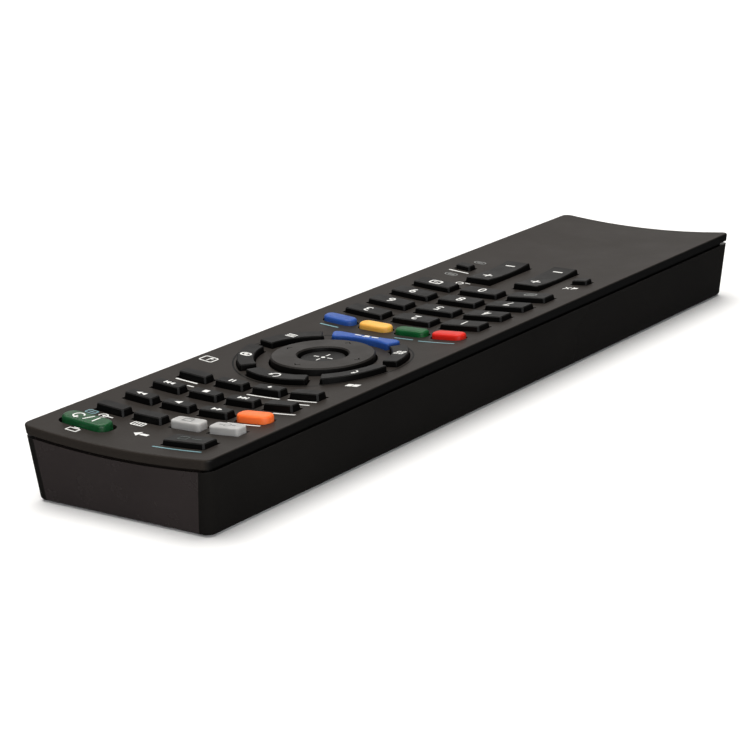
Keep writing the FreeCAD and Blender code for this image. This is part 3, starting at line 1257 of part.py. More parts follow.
PLATE_LOW = "(%s - %s)" % (CELL_HEIGHT, S("plate_height / 2"))
plates = [
    box("plate_%d" % (side + 2), S("plate_width"), S("plate_thickness"), S("plate_height"),
        S("%s * cell_x" % side), BAY_FRONT, PLATE_LOW)
    for side in (-1, 1)
]
plates.append(
    box("double_plate", S("(2 * cell_x + plate_width)"), S("plate_thickness"), S("plate_height"), "0",
        SPRING_END[1], PLATE_LOW)
)
keep(joined("contact_plates", plates, "Part::Compound"))


def spring_wire(turns, length, large, small, wire):
    """A conical spring along +Y, from its large end to its small end, as one tube of six-sided wire."""
    steps = int(turns * 4)
    unit = FreeCAD.Units.parseQuantity("90 deg").getValueAs("rad").Value

    def place(step):
        share = step / steps
        radius = large + (small - large) * share
        way = FreeCAD.Rotation(FreeCAD.Vector(0, 1, 0), 90 * step)
        out = way.multVec(FreeCAD.Vector(radius, 0, 0))
        around = way.multVec(FreeCAD.Vector(0, 0, -radius * unit))
        inward = way.multVec(FreeCAD.Vector((small - large) / steps, 0, 0))
        return out + FreeCAD.Vector(0, length * share, 0), around + inward + FreeCAD.Vector(0, length / steps, 0)

    edges = []
    for step in range(steps):
        (start, leave), (end, arrive) = place(step), place(step + 1)
        leave.normalize()
        arrive.normalize()
        gap = end - start
        both = leave + arrive
        a = both.dot(both) - 4
        b = gap.dot(both)
        reach = (b - (b * b - a * gap.dot(gap)) ** 0.5) / a
        first, last = start + leave * reach, end - arrive * reach
        middle = (first + last) * 0.5
        for near, away, heading, corner in ((start, middle, leave, first), (middle, end, None, last)):
            bulge = corner - (near + away) * 0.5
            half = (away - near).Length / 2
            ratio = bulge.Length
            depth = ((ratio * ratio + half * half) ** 0.5 - half) * half / ratio
            bulge.normalize()
            edges.append(Part.Arc(near, (near + away) * 0.5 + bulge * depth, away).toShape())
    path = Part.Wire(edges)
    start, leave = place(0)
    reach = leave.cross(FreeCAD.Vector(1, 0, 0)).normalize() * (wire / 2)
    ring = Part.makePolygon([start + FreeCAD.Rotation(leave, turn).multVec(reach) for turn in range(0, 361, 60)])
    pipe = Part.BRepOffsetAPI.MakePipeShell(path)
    pipe.add(ring)
    pipe.build()
    pipe.makeSolid()
    coils = path.discretize(Number=40 * steps)
    per_turn = 160
    closest = min(
        (coils[i] - coils[j]).Length
        for i in range(0, len(coils), 4)
        for j in range(i + per_turn // 2, len(coils), 4)
    )
    print("spring: least gap between coils %.2f" % (closest - wire))
    return pipe.shape()


WIRE = value(S("spring_wire"))
coil_length = value(S("spring_length - 2 * spring_seat")) - WIRE
coil = spring_wire(
    value(S("spring_turns")), coil_length, value(S("spring_large")), value(S("spring_small")), WIRE
)
springs = []
for side in (-1, 1):
    spring = doc.addObject("Part::Feature", "spring_%d" % (side + 2))
    spring.Shape = coil
    inset = WIRE / 2 + value(S("spring_seat"))
    spring.Placement = FreeCAD.Placement(
        FreeCAD.Vector(side * value(S("cell_x")), value(SPRING_END[side]) - side * inset, value(CELL_HEIGHT)),
        FreeCAD.Rotation(FreeCAD.Vector(0, 0, 1), 0 if side == -1 else 180),
    )
    springs.append(spring)
keep(joined("battery_springs", springs, "Part::Compound"))

screws = []
for side in (-1, 1):
    x = S("%s * screw_x" % side)
    head = cylinder("head_%d" % (side + 2), S("screw_head_radius"), S("screw_head"), x, S("screw_y"),
                    S("screw_seat - screw_head"))
    shank = cylinder("shank_%d" % (side + 2), S("screw_radius"), S("screw_length + screw_root"), x, S("screw_y"),
                     S("screw_seat - screw_root"))
    whole = joined("whole_screw_%d" % (side + 2), [head, shank])
    bars = [
        box("cross_%d_%s" % (side + 2, name), width, depth, S("cross_depth + cut_over"), x,
            "%s - (%s) / 2" % (S("screw_y"), depth), S("screw_seat - screw_head - cut_over"))
        for name, width, depth in (
            ("across", S("cross_length"), S("cross_width")),
            ("along", S("cross_width"), S("cross_length")),
        )
    ]
    cross = joined("cross_%d" % (side + 2), bars)
    screw = doc.addObject("Part::Cut", "screw_%d" % (side + 2))
    screw.Base = whole
    screw.Tool = cross
    screws.append(screw)
keep(joined("case_screws", screws, "Part::Compound"))

doc.recompute()
faults = []
for item in doc.Objects:
    if "Invalid" in item.State or "Error" in item.State:
        faults.append("%s (%s)" % (item.Name, item.Label))
for piece in nodes:
    shape = piece.Shape
    if shape.isNull() or not shape.isValid() or not shape.Solids:
        faults.append("shape of " + piece.Label)
if faults:
    raise RuntimeError("not sound: " + ", ".join(faults))
if len(nodes) > 60:
    raise RuntimeError("too many pieces: %d" % len(nodes))

os.makedirs("parts", exist_ok=True)
for piece in nodes:
    piece.Shape.exportStep("parts/%s.step" % piece.Label)
    print("%s: %d solid(s), %.2f mm3" % (piece.Label, len(piece.Shape.Solids), piece.Shape.Volume))
print("pieces:", len(nodes))
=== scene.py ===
import json
import math

import bpy
from mathutils import Matrix, Vector

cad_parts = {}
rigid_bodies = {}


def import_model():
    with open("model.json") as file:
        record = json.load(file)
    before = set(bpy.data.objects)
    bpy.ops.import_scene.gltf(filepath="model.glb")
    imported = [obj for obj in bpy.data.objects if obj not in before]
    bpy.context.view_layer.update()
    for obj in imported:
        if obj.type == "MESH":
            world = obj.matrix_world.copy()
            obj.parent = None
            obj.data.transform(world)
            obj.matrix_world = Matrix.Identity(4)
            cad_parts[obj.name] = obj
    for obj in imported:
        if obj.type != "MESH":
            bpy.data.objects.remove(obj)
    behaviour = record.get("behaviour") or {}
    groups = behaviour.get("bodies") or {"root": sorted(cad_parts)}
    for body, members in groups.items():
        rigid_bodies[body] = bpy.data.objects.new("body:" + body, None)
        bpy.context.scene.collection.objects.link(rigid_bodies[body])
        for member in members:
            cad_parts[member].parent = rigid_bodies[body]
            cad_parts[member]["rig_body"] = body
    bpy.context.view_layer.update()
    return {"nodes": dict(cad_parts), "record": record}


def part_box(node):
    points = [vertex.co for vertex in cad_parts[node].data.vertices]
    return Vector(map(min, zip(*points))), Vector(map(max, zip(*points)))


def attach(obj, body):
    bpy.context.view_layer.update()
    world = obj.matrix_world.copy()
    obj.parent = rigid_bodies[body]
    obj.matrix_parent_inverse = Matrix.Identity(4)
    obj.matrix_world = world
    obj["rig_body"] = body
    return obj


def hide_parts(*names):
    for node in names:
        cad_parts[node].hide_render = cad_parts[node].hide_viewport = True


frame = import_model()
remote = frame["nodes"]
mm = 0.001
print("remote control loaded,", len(remote), "parts")


# camera

shot = {
    "turn": 36.499,  # degrees round the remote from its window end
    "height": 16.45,  # degrees above the table
    "lean": -2.426,  # degrees that the camera is tipped sideways
    "distance": 553.8,  # this and the rest in mm
    "aside": -9.921,
    "lift": -7.266,
    "aim": (0, 0, 9.8),
    "lens": 116.76,
    "film": 36,
    "nearest": 10,
}


def placeCamera():
    turn = math.radians(shot["turn"])
    height = math.radians(shot["height"])
    lean = math.radians(shot["lean"])
    level = Vector((math.cos(turn), math.sin(turn), 0))
    back = Vector((math.sin(turn) * math.cos(height), -math.cos(turn) * math.cos(height), math.sin(height)))
    upright = level.cross(-back)
    right = level * math.cos(lean) + upright * math.sin(lean)
    up = upright * math.cos(lean) - level * math.sin(lean)
    spot = Vector(shot["aim"]) + back * shot["distance"] + right * shot["aside"] + up * shot["lift"]
    bpy.ops.object.camera_add(location=spot * mm)
    camera = bpy.context.object
    camera.name = "tableCamera"
    camera.data.lens = shot["lens"]
    camera.data.sensor_width = shot["film"]
    camera.data.clip_start = shot["nearest"] * mm
    camera.rotation_euler = Matrix((right, up, back)).transposed().to_euler()
    bpy.context.scene.camera = camera
    print("camera placed at", [round(v, 3) for v in spot * mm])


bpy.ops.object.select_all(action="DESELECT")
placeCamera()


# table, lights and room

studio = {
    "tableSize": 7,  # metres
    "tableDrop": 0.0002,  # metres, just clear of the underside
    "tableColour": (0.9, 0.9, 0.9, 1),
    "tableRoughness": 0.9,
    "tableShine": 0.1,
    "roomColour": (0.95, 0.97, 1, 1),
    "roomStrength": 0.13,
}
lights = {  # places and sizes in metres, power in watts
    "overhead": {"spot": (-0.42, 0.28, 2.38), "aim": (0, 0, 0), "width": 2.5, "depth": 2.5,
                 "power": 98, "colour": (1, 0.98, 0.95)},
    "rear": {"spot": (-0.75, 0.85, 0.38), "aim": (0, 0, 0.02), "width": 1, "depth": 0.5,
             "power": 1.3, "colour": (1, 0.97, 0.94)},
    "side": {"spot": (0.4, -0.42, 0.12), "aim": (0.02, -0.09, 0.01), "width": 0.3, "depth": 0.2,
             "power": 2, "colour": (1, 1, 1)},
}


def plainMaterial(name):
    material = bpy.data.materials.new(name)
    material.use_nodes = True
    return material, material.node_tree.nodes["Principled BSDF"]


def softLight(name, lamp):
    bpy.ops.object.light_add(type="AREA", location=lamp["spot"])
    light = bpy.context.object
    light.name = name
    light.data.shape = "RECTANGLE"
    light.data.size = lamp["width"]
    light.data.size_y = lamp["depth"]
    light.data.energy = lamp["power"]
    light.data.color = lamp["colour"]
    light.rotation_euler = (Vector(lamp["spot"]) - Vector(lamp["aim"])).to_track_quat("Z", "Y").to_euler()


def setTable():
    bpy.ops.mesh.primitive_plane_add(size=studio["tableSize"], location=(0, 0, -studio["tableDrop"]))
    table = bpy.context.object
    table.name = "table"
    paper, shader = plainMaterial("white table paper")
    shader.inputs["Base Color"].default_value = studio["tableColour"]
    shader.inputs["Roughness"].default_value = studio["tableRoughness"]
    shader.inputs["Specular IOR Level"].default_value = studio["tableShine"]
    table.data.materials.append(paper)
    table.visible_glossy = False  # keeps the white table out of the glossy sides

    room = bpy.data.worlds.new("white room")
    room.use_nodes = True
    backdrop = room.node_tree.nodes["Background"]
    backdrop.inputs["Color"].default_value = studio["roomColour"]
    backdrop.inputs["Strength"].default_value = studio["roomStrength"]
    bpy.context.scene.world = room
    bpy.context.scene.view_settings.view_transform = "Standard"

    for name, lamp in lights.items():
        softLight(name, lamp)
    print("table and lights set")


setTable()


# finishes

noiseKinds = {  # how much detail each noise has, and how rough it is
    "cloud": (4, 0.5),
    "grain": (2, 0.6),
    "smudge": (5, 0.6),
    "jacket": (3, 0.5),
}


def noiseFrom(tree, place, kind, size):
    noise = tree.nodes.new("ShaderNodeTexNoise")
    noise.inputs["Scale"].default_value = 1 / (size * mm)
    noise.inputs["Detail"].default_value, noise.inputs["Roughness"].default_value = noiseKinds[kind]
    tree.links.new(place, noise.inputs["Vector"])
    return noise.outputs["Fac"]


def spread(tree, value, low, high, least=0.3, most=0.7):
    ramp = tree.nodes.new("ShaderNodeMapRange")
    ramp.inputs["From Min"].default_value = least
    ramp.inputs["From Max"].default_value = most
    ramp.inputs["To Min"].default_value = low
    ramp.inputs["To Max"].default_value = high
    tree.links.new(value, ramp.inputs["Value"])
    return ramp.outputs["Result"]


def calculate(tree, operation, *values):
    node = tree.nodes.new("ShaderNodeMath")
    node.operation = operation
    for socket, value in zip(node.inputs, values):
        if isinstance(value, float):
            socket.default_value = value
        else:
            tree.links.new(value, socket)
    return node.outputs["Value"]


def axesOf(tree, vector):
    split = tree.nodes.new("ShaderNodeSeparateXYZ")
    tree.links.new(vector, split.inputs["Vector"])
    return split.outputs


def blendColours(tree, share, first, second):
    mix = tree.nodes.new("ShaderNodeMix")
    mix.data_type = "RGBA"
    tree.links.new(share, mix.inputs["Factor"])
    for socket, colour in (("A", first), ("B", second)):
        slot = [s for s in mix.inputs if s.name == socket and s.type == "RGBA"][0]
        if isinstance(colour, tuple):
            slot.default_value = (*colour, 1)
        else:
            tree.links.new(colour, slot)
    return [s for s in mix.outputs if s.type == "RGBA"][0]


# edgeShare compares a face with its rounded edge: below "bare" it is all edge, above "whole" none
# the lighter edge colour is partly wear, partly a painted highlight along the rounded edges
edgeWearAndHighlight = {"samples": 4, "bare": 0.75, "whole": 0.995, "patch": 1.6, "faintest": 0.25}


def edgeShare(tree, radius, place):
    rounded = tree.nodes.new("ShaderNodeBevel")
    rounded.samples = edgeWearAndHighlight["samples"]
    rounded.inputs["Radius"].default_value = radius * mm
    flat = tree.nodes.new("ShaderNodeNewGeometry")
    compare = tree.nodes.new("ShaderNodeVectorMath")
    compare.operation = "DOT_PRODUCT"
    tree.links.new(rounded.outputs["Normal"], compare.inputs[0])
    tree.links.new(flat.outputs["Normal"], compare.inputs[1])
    wornAndLit = spread(tree, compare.outputs["Value"], 1, 0, edgeWearAndHighlight["bare"], edgeWearAndHighlight["whole"])
    patches = spread(tree, noiseFrom(tree, place, "cloud", edgeWearAndHighlight["patch"]), edgeWearAndHighlight["faintest"], 1)
    return calculate(tree, "MULTIPLY", wornAndLit, patches)


# how far a face has to lean, as a part of its normal, for the top colour to give way to painted shade
faceLimits = {"wall": 0.35, "deck": 0.9, "end": 0.25, "longSide": 0.8, "level": 0.96}


def facingOf(tree):
    return axesOf(tree, tree.nodes.new("ShaderNodeNewGeometry").outputs["Normal"])


# how far a face looks up: 0 on upright walls, 1 on the deck; it sets where painted shade darkens the walls
def upward(tree):
    return spread(tree, facingOf(tree)["Z"], 0, 1, faceLimits["wall"], faceLimits["deck"])


# 0 on the two long side walls, 1 on the deck and the ends; it sets where painted shade darkens the long walls
def endways(tree):
    across = calculate(tree, "ABSOLUTE", facingOf(tree)["X"])
    return spread(tree, across, 1, 0, faceLimits["end"], faceLimits["longSide"])


# 1 on level faces below a height in mm, such as the notches in a flat top, 0 elsewhere; these get painted
# shade
def paintedNotchShade(tree, place, height):
    below = calculate(tree, "LESS_THAN", axesOf(tree, place)["Z"], height * mm)
    level = calculate(tree, "GREATER_THAN", facingOf(tree)["Z"], faceLimits["level"])
    return calculate(tree, "MULTIPLY", below, level)


# A look holds the colour and its cloudier shade, the sizes of clouds, grain and smudges in mm,
# and the roughness from and to.
def moulded(name, look):
    material, shader = plainMaterial(name)
    tree = material.node_tree
    place = tree.nodes.new("ShaderNodeTexCoord").outputs["Object"]
    clouds = spread(tree, noiseFrom(tree, place, "cloud", look["cloud"]), 0, 1)
    colour = blendColours(tree, clouds, look["colour"], look["shade"])
    # the lighter edge colour on rounded edges is partly wear, partly a painted highlight
    if look.get("edge"):
        colour = blendColours(tree, edgeShare(tree, look["edgeWidth"], place), colour, look["edge"])
    # painted shade: upright walls (only the long side walls where longSides is set) take the darker side
    # colour
    if look.get("side"):
        unshadedShare = endways(tree) if look.get("longSides") else upward(tree)
        colour = blendColours(tree, unshadedShare, look["side"], colour)
    # painted shade: level notch floors below a height take a near-black colour
    if look.get("notchShadeBelow"):
        colour = blendColours(tree, paintedNotchShade(tree, place, look["notchShadeBelow"]), colour, look["paintedNotchShade"])
    tree.links.new(colour, shader.inputs["Base Color"])
    smudges = noiseFrom(tree, place, "smudge", look["smudge"])
    tree.links.new(spread(tree, smudges, *look["roughness"]), shader.inputs["Roughness"])
    bump = tree.nodes.new("ShaderNodeBump")
    bump.inputs["Strength"].default_value = look["grainStrength"]
    bump.inputs["Distance"].default_value = look["grainDepth"] * mm
    tree.links.new(noiseFrom(tree, place, "grain", look["grain"]), bump.inputs["Height"])
    tree.links.new(bump.outputs["Normal"], shader.inputs["Normal"])
    shader.inputs["Specular IOR Level"].default_value = look["shine"]
    if look.get("glow"):
        shader.inputs["Subsurface Weight"].default_value = look["glow"]
        shader.inputs["Subsurface Radius"].default_value = look["glowReach"]
        shader.inputs["Subsurface Scale"].default_value = look["glowScale"] * mm
    if look.get("clear"):
        shader.inputs["Transmission Weight"].default_value = look["clear"]
    if look.get("metal"):
        shader.inputs["Metallic"].default_value = 1
    return material


# what the coloured and clear keys share
softKey = {"cloud": 4, "grain": 0.25, "grainStrength": 0.22, "grainDepth": 0.012, "smudge": 3,
           "roughness": (0.36, 0.48), "shine": 0.2}

finishes = {
    "cover_plastic": {
        "colour": (0.0168, 0.0133, 0.0108), "shade": (0.0186, 0.0149, 0.0122), "cloud": 24,
        "grain": 0.3, "grainStrength": 0.45, "grainDepth": 0.02, "smudge": 13, "roughness": (0.47, 0.52),
        "shine": 0.11, "edge": (0.032, 0.029, 0.026), "edgeWidth": 0.25,
        # painted shade: the long side walls take this darker colour
        "side": (0.0022, 0.002, 0.0018), "longSides": True,
    },
    "case_plastic": {
        "colour": (0.0058, 0.0054, 0.005), "shade": (0.0072, 0.0067, 0.0062), "cloud": 30,
        "grain": 0.9, "grainStrength": 0.12, "grainDepth": 0.006, "smudge": 9, "roughness": (0.14, 0.24),
        "shine": 0.03, "edge": (0.02, 0.019, 0.018), "edgeWidth": 0.25,
    },
    "window_plastic": {
        "colour": (0.0198, 0.016, 0.0157), "shade": (0.0225, 0.0181, 0.0177), "cloud": 14,
        "grain": 0.8, "grainStrength": 0.1, "grainDepth": 0.006, "smudge": 7, "roughness": (0.2, 0.3),
        "shine": 0.14, "edge": (0.034, 0.028, 0.025), "edgeWidth": 0.25,
    },
    "key_black": {
        "colour": (0.0052, 0.0049, 0.0047), "shade": (0.0072, 0.0068, 0.0065), "cloud": 5,
        "grain": 0.22, "grainStrength": 0.35, "grainDepth": 0.012, "smudge": 3.5, "roughness": (0.4, 0.48),
        "shine": 0.09, "edge": (0.0125, 0.0118, 0.0112), "edgeWidth": 0.15,
        # painted shade: the key sides take this darker colour
        "side": (0.002, 0.0019, 0.0018),
    },
    "ring_black": {
        "colour": (0.0155, 0.013, 0.0112), "shade": (0.018, 0.0153, 0.0133), "cloud": 8,
        "grain": 0.25, "grainStrength": 0.4, "grainDepth": 0.016, "smudge": 6, "roughness": (0.4, 0.5),
        "shine": 0.14, "edge": (0.03, 0.0275, 0.025), "edgeWidth": 0.2,
        # painted shade: the upright skirt takes the darker side colour, the notches a near-black one
        "side": (0.004, 0.0037, 0.0035), "notchShadeBelow": 16.37, "paintedNotchShade": (0.002, 0.002, 0.002),
    },
    "key_clear": {
        **softKey, "colour": (0.34, 0.337, 0.33), "shade": (0.4, 0.397, 0.39), "cloud": 3.5,
        "grainStrength": 0.25, "roughness": (0.34, 0.46), "shine": 0.3,
        "glow": 0.7, "glowReach": (1, 0.96, 0.9), "glowScale": 1.6,
    },
    "key_green_dark": {
        **softKey, "colour": (0.004, 0.05, 0.014), "shade": (0.006, 0.064, 0.019),
        "grainStrength": 0.25, "roughness": (0.32, 0.44), "shine": 0.24,
        "glow": 0.35, "glowReach": (0.2, 1, 0.4), "glowScale": 1.2,
    },
    "key_orange": {
        **softKey, "colour": (0.82, 0.135, 0.026), "shade": (0.88, 0.18, 0.04),
        "glow": 0.45, "glowReach": (1, 0.4, 0.12), "glowScale": 1.0,
    },
    "key_blue": {
        **softKey, "colour": (0.022, 0.075, 0.3), "shade": (0.027, 0.09, 0.345),
        "glow": 0.35, "glowReach": (0.2, 0.45, 1), "glowScale": 0.9,
    },
    "key_yellow": {
        **softKey, "colour": (0.72, 0.37, 0.062), "shade": (0.78, 0.43, 0.085),
        "glow": 0.45, "glowReach": (1, 0.7, 0.2), "glowScale": 1.0,
    },
    "key_green": {
        **softKey, "colour": (0.003, 0.062, 0.014), "shade": (0.004, 0.08, 0.019),
        "glow": 0.35, "glowReach": (0.2, 1, 0.35), "glowScale": 0.9,
    },
    "key_red": {
        **softKey, "colour": (0.55, 0.013, 0.007), "shade": (0.62, 0.02, 0.01), "roughness": (0.34, 0.46),
        "glow": 0.4, "glowReach": (1, 0.2, 0.12), "glowScale": 0.9,
    },
    "board_laminate": {
        "colour": (0.02, 0.1, 0.03), "shade": (0.03, 0.15, 0.045), "cloud": 2.2,
        "grain": 0.6, "grainStrength": 0.3, "grainDepth": 0.03, "smudge": 6, "roughness": (0.28, 0.42),
        "shine": 0.5,
    },
    "mat_rubber": {
        "colour": (0.06, 0.06, 0.06), "shade": (0.085, 0.085, 0.085), "cloud": 9,
        "grain": 0.35, "grainStrength": 0.3, "grainDepth": 0.02, "smudge": 6, "roughness": (0.6, 0.78),
        "shine": 0.3,
    },
    "chip_epoxy": {
        "colour": (0.009, 0.009, 0.01), "shade": (0.014, 0.014, 0.015), "cloud": 2,
        "grain": 0.15, "grainStrength": 0.5, "grainDepth": 0.015, "smudge": 2, "roughness": (0.5, 0.66),
        "shine": 0.4,
    },
    "led_epoxy": {
        "colour": (0.52, 0.54, 0.72), "shade": (0.44, 0.46, 0.66), "cloud": 2,
        "grain": 0.5, "grainStrength": 0.08, "grainDepth": 0.005, "smudge": 2, "roughness": (0.05, 0.12),
        "shine": 0.5, "clear": 0.85,
    },
    "spring_steel": {
        "colour": (0.55, 0.56, 0.58), "shade": (0.42, 0.42, 0.43), "cloud": 1.5,
        "grain": 0.1, "grainStrength": 0.2, "grainDepth": 0.006, "smudge": 1.2, "roughness": (0.2, 0.34),
        "shine": 0.5, "metal": True,
    },
    "plate_nickel": {
        "colour": (0.6, 0.6, 0.59), "shade": (0.48, 0.47, 0.45), "cloud": 2.5,
        "grain": 0.12, "grainStrength": 0.25, "grainDepth": 0.008, "smudge": 2, "roughness": (0.24, 0.4),
        "shine": 0.5, "metal": True,
    },
    "screw_steel": {
        "colour": (0.33, 0.34, 0.36), "shade": (0.22, 0.22, 0.23), "cloud": 0.9,
        "grain": 0.1, "grainStrength": 0.3, "grainDepth": 0.01, "smudge": 0.8, "roughness": (0.26, 0.42),
        "shine": 0.5, "metal": True,
    },
}

cellLook = {
    "jacket": (0.045, 0.05, 0.055),
    "jacketShade": (0.09, 0.095, 0.1),
    "shadeMost": 0.25,
    "cloud": 4,
    "smudge": 3,
    "band": (0.5, 0.24, 0.07),
    "cap": (0.55, 0.55, 0.53),
    "bandFrom": 12.5,  # mm from the cell's middle towards its plus end
    "capFrom": 21.4,
    "roughness": (0.2, 0.32),
}


# printed jacket, a copper band at the plus end, bare steel at both ends
def cellWrap(look):
    material, shader = plainMaterial("battery jacket")
    tree = material.node_tree
    low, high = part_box("battery_cells")
    coords = tree.nodes.new("ShaderNodeTexCoord").outputs["Object"]
    place = axesOf(tree, coords)
    along = calculate(tree, "SUBTRACT", place["Y"], (low.y + high.y) / 2)
    side = calculate(tree, "SIGN", place["X"])
    towards = calculate(tree, "MULTIPLY", along, side)  # the two cells lie head to tail
    band = calculate(tree, "GREATER_THAN", towards, look["bandFrom"] * mm)
    cap = calculate(tree, "GREATER_THAN", calculate(tree, "ABSOLUTE", along), look["capFrom"] * mm)
    clouds = spread(tree, noiseFrom(tree, coords, "jacket", look["cloud"]), 0, look["shadeMost"])
    jacket = blendColours(tree, clouds, look["jacket"], look["jacketShade"])
    wrapped = blendColours(tree, band, jacket, look["band"])
    tree.links.new(blendColours(tree, cap, wrapped, look["cap"]), shader.inputs["Base Color"])
    tree.links.new(calculate(tree, "MAXIMUM", cap, band), shader.inputs["Metallic"])
    smudges = noiseFrom(tree, coords, "cloud", look["smudge"])
    tree.links.new(spread(tree, smudges, *look["roughness"]), shader.inputs["Roughness"])
    return material


def dressRemote():
    made = {slot: moulded(slot.replace("_", " "), look) for slot, look in finishes.items()}
    made["cell_jacket"] = cellWrap(cellLook)
    for part in frame["record"]["subparts"]:
        mesh = remote[part["node"]].data
        mesh.materials.clear()
        mesh.materials.append(made[part["material_slot"]])
    return made


finished = dressRemote()


# pill keys
# Eight soft keys whose ends and tops are rounder than a moulded block's, in millimetres.

pillKeys = {
    "power_key": {"width": 11.9, "depth": 4.6, "corner": 2.1, "round": 0.7, "top": 16.65},
    "orange_key": {"width": 8.3, "depth": 3.8, "corner": 1.7, "round": 0.7, "top": 16.95},
    "blue_key": {"width": 8.3, "depth": 3.6, "corner": 1.65, "round": 0.7, "top": 16.58},
    "yellow_key": {"width": 8.3, "depth": 3.6, "corner": 1.65, "round": 0.7, "top": 16.15},
    "green_key": {"width": 8.3, "depth": 3.6, "corner": 1.65, "round": 0.7, "top": 16.15},
    "red_key": {"width": 8.3, "depth": 3.6, "corner": 1.65, "round": 0.7, "top": 16.58},
    "white_key_inner": {"width": 7.6, "depth": 3.3, "corner": 0.9, "round": 0.45, "top": 16.5},
    "white_key_outer": {"width": 7.6, "depth": 3.3, "corner": 0.9, "round": 0.45, "top": 16.9},
}
pillShape = {
    "foot": 0.8,  # thickness of the lip that stays under the deck
    "lip": 0.6,
    "cornerSteps": 9,
    "roundSteps": 6,
    "smoothBelow": 32,  # degrees
    "hair": 0.01,  # how near a point has to be to a level to count as on it
    "deckRadius": 215.07,  # the dish across the deck
}


def flatten(piece):
    bpy.ops.object.select_all(action="DESELECT")
    piece.select_set(True)
    bpy.context.view_layer.objects.active = piece
    bpy.ops.object.transform_apply(location=True, rotation=True, scale=True)
    return piece


def middleOf(part):
    low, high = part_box(part)
    return (low.x + high.x) / 2 / mm, (low.y + high.y) / 2 / mm


def selectPoints(piece, wanted):
    bpy.ops.object.mode_set(mode="EDIT")
    bpy.ops.mesh.select_mode(type="VERT")
    bpy.ops.mesh.select_all(action="DESELECT")
    bpy.ops.object.mode_set(mode="OBJECT")
    for point in piece.data.vertices:
        point.select = wanted(point.co)
    bpy.ops.object.mode_set(mode="EDIT")


def selectUprightEdges(piece):
    bpy.ops.object.mode_set(mode="EDIT")
    bpy.ops.mesh.select_mode(type="EDGE")
    bpy.ops.mesh.select_all(action="DESELECT")
    bpy.ops.object.mode_set(mode="OBJECT")
    for edge in piece.data.edges:
        ends = [piece.data.vertices[point].co for point in edge.vertices]
        edge.select = abs(ends[0].z - ends[1].z) > pillShape["hair"]
    bpy.ops.object.mode_set(mode="EDIT")


def pillKey(part, look, slot):
    x, y = middleOf(part)
    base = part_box(part)[0].z / mm
    height = look["top"] - base
    lip, foot, hair = pillShape["lip"], pillShape["foot"], pillShape["hair"]
    bpy.ops.object.select_all(action="DESELECT")
    bpy.ops.mesh.primitive_cube_add(size=1, location=(0, 0, (height + foot) / 2))
    key = bpy.context.object
    key.scale = (look["width"], look["depth"], height - foot)
    flatten(key)
    # upright corners, then the edge round the top
    selectUprightEdges(key)
    bpy.ops.mesh.bevel(offset=look["corner"], segments=pillShape["cornerSteps"], clamp_overlap=True)
    selectPoints(key, lambda spot: spot.z > height - hair)
    bpy.ops.mesh.bevel(offset=look["round"], segments=pillShape["roundSteps"], clamp_overlap=True)
    # the lip that stays under the deck
    selectPoints(key, lambda spot: spot.z < foot + hair)
    wider = (1 + 2 * lip / look["width"], 1 + 2 * lip / look["depth"], 1)
    bpy.ops.mesh.extrude_region_move(TRANSFORM_OT_translate={"value": (0, 0, 0)})
    bpy.ops.transform.resize(value=wider, center_override=(0, 0, foot))
    bpy.ops.mesh.extrude_region_move(TRANSFORM_OT_translate={"value": (0, 0, -foot)})
    # the top leans with the dished deck
    selectPoints(key, lambda spot: spot.z > height - look["round"] - hair)
    lean = math.asin(x / pillShape["deckRadius"])
    bpy.ops.transform.rotate(value=lean, orient_axis="Y", center_override=(0, 0, height))
    bpy.ops.mesh.select_all(action="SELECT")
    bpy.ops.mesh.normals_make_consistent(inside=False)
    bpy.ops.object.mode_set(mode="OBJECT")
    key.name = "soft_" + part
    key.scale = (mm, mm, mm)
    key.location = (x * mm, y * mm, base * mm)
    flatten(key)
    bpy.ops.object.shade_smooth_by_angle(angle=math.radians(pillShape["smoothBelow"]))
    key.data.materials.clear()
    key.data.materials.append(finished[slot])
    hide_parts(part)
    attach(key, remote[part]["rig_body"])
    return key


def makePills():
    slots = {part["node"]: part["material_slot"] for part in frame["record"]["subparts"]}
    made = {part: pillKey(part, look, slots[part]) for part, look in pillKeys.items()}
    print("pill keys made:", len(made))
    return made


surfaces = {**remote, **makePills()}  # what a mark is laid on: the part, or the pill in its place


# printed marks
# Marks are drawn in millimetres as they read from the battery end, then turned and laid on their part.

drawing = {
    "discPoints": 28,
    "cornerSteps": 4,
    "arcSteps": 24,
    "hair": 0.02,  # mm, the sliver that an arc is spun from
    "headLength": 1.5,  # of a triangle drawn in a circle of radius 1
    "headWidth": 1.732,
    "digitHeight": 3.9,
    "digitWeight": 0.00875,  # how far the strokes are thickened, as a part of the height
    "digitSteps": 4,
}


def bar(x, y, width, depth, lean=0, cuts=0):
    bpy.ops.mesh.primitive_plane_add(size=1, location=(x, y, 0), rotation=(0, 0, math.radians(lean)))
    piece = bpy.context.object
    piece.scale = (width, depth, 1)
    flatten(piece)
    if cuts:
        bpy.ops.object.mode_set(mode="EDIT")
        bpy.ops.mesh.select_all(action="SELECT")
        bpy.ops.mesh.subdivide(number_cuts=cuts)
        bpy.ops.object.mode_set(mode="OBJECT")
    return piece


# a filled arrow head, pointing right at lean 0
def head(x, y, width, depth, lean=0):
    right = math.radians(-90)
    bpy.ops.mesh.primitive_circle_add(vertices=3, radius=1, fill_type="NGON", rotation=(0, 0, right))
    piece = flatten(bpy.context.object)
    piece.scale = (width / drawing["headLength"], depth / drawing["headWidth"], 1)
    flatten(piece)
    piece.rotation_euler.z = math.radians(lean)
    piece.location = (x, y, 0)
    return flatten(piece)


def disc(x, y, width, depth):
    bpy.ops.mesh.primitive_circle_add(vertices=drawing["discPoints"], radius=0.5, fill_type="NGON",
                                      location=(x, y, 0))
    piece = bpy.context.object
    piece.scale = (width, depth, 1)
    return flatten(piece)


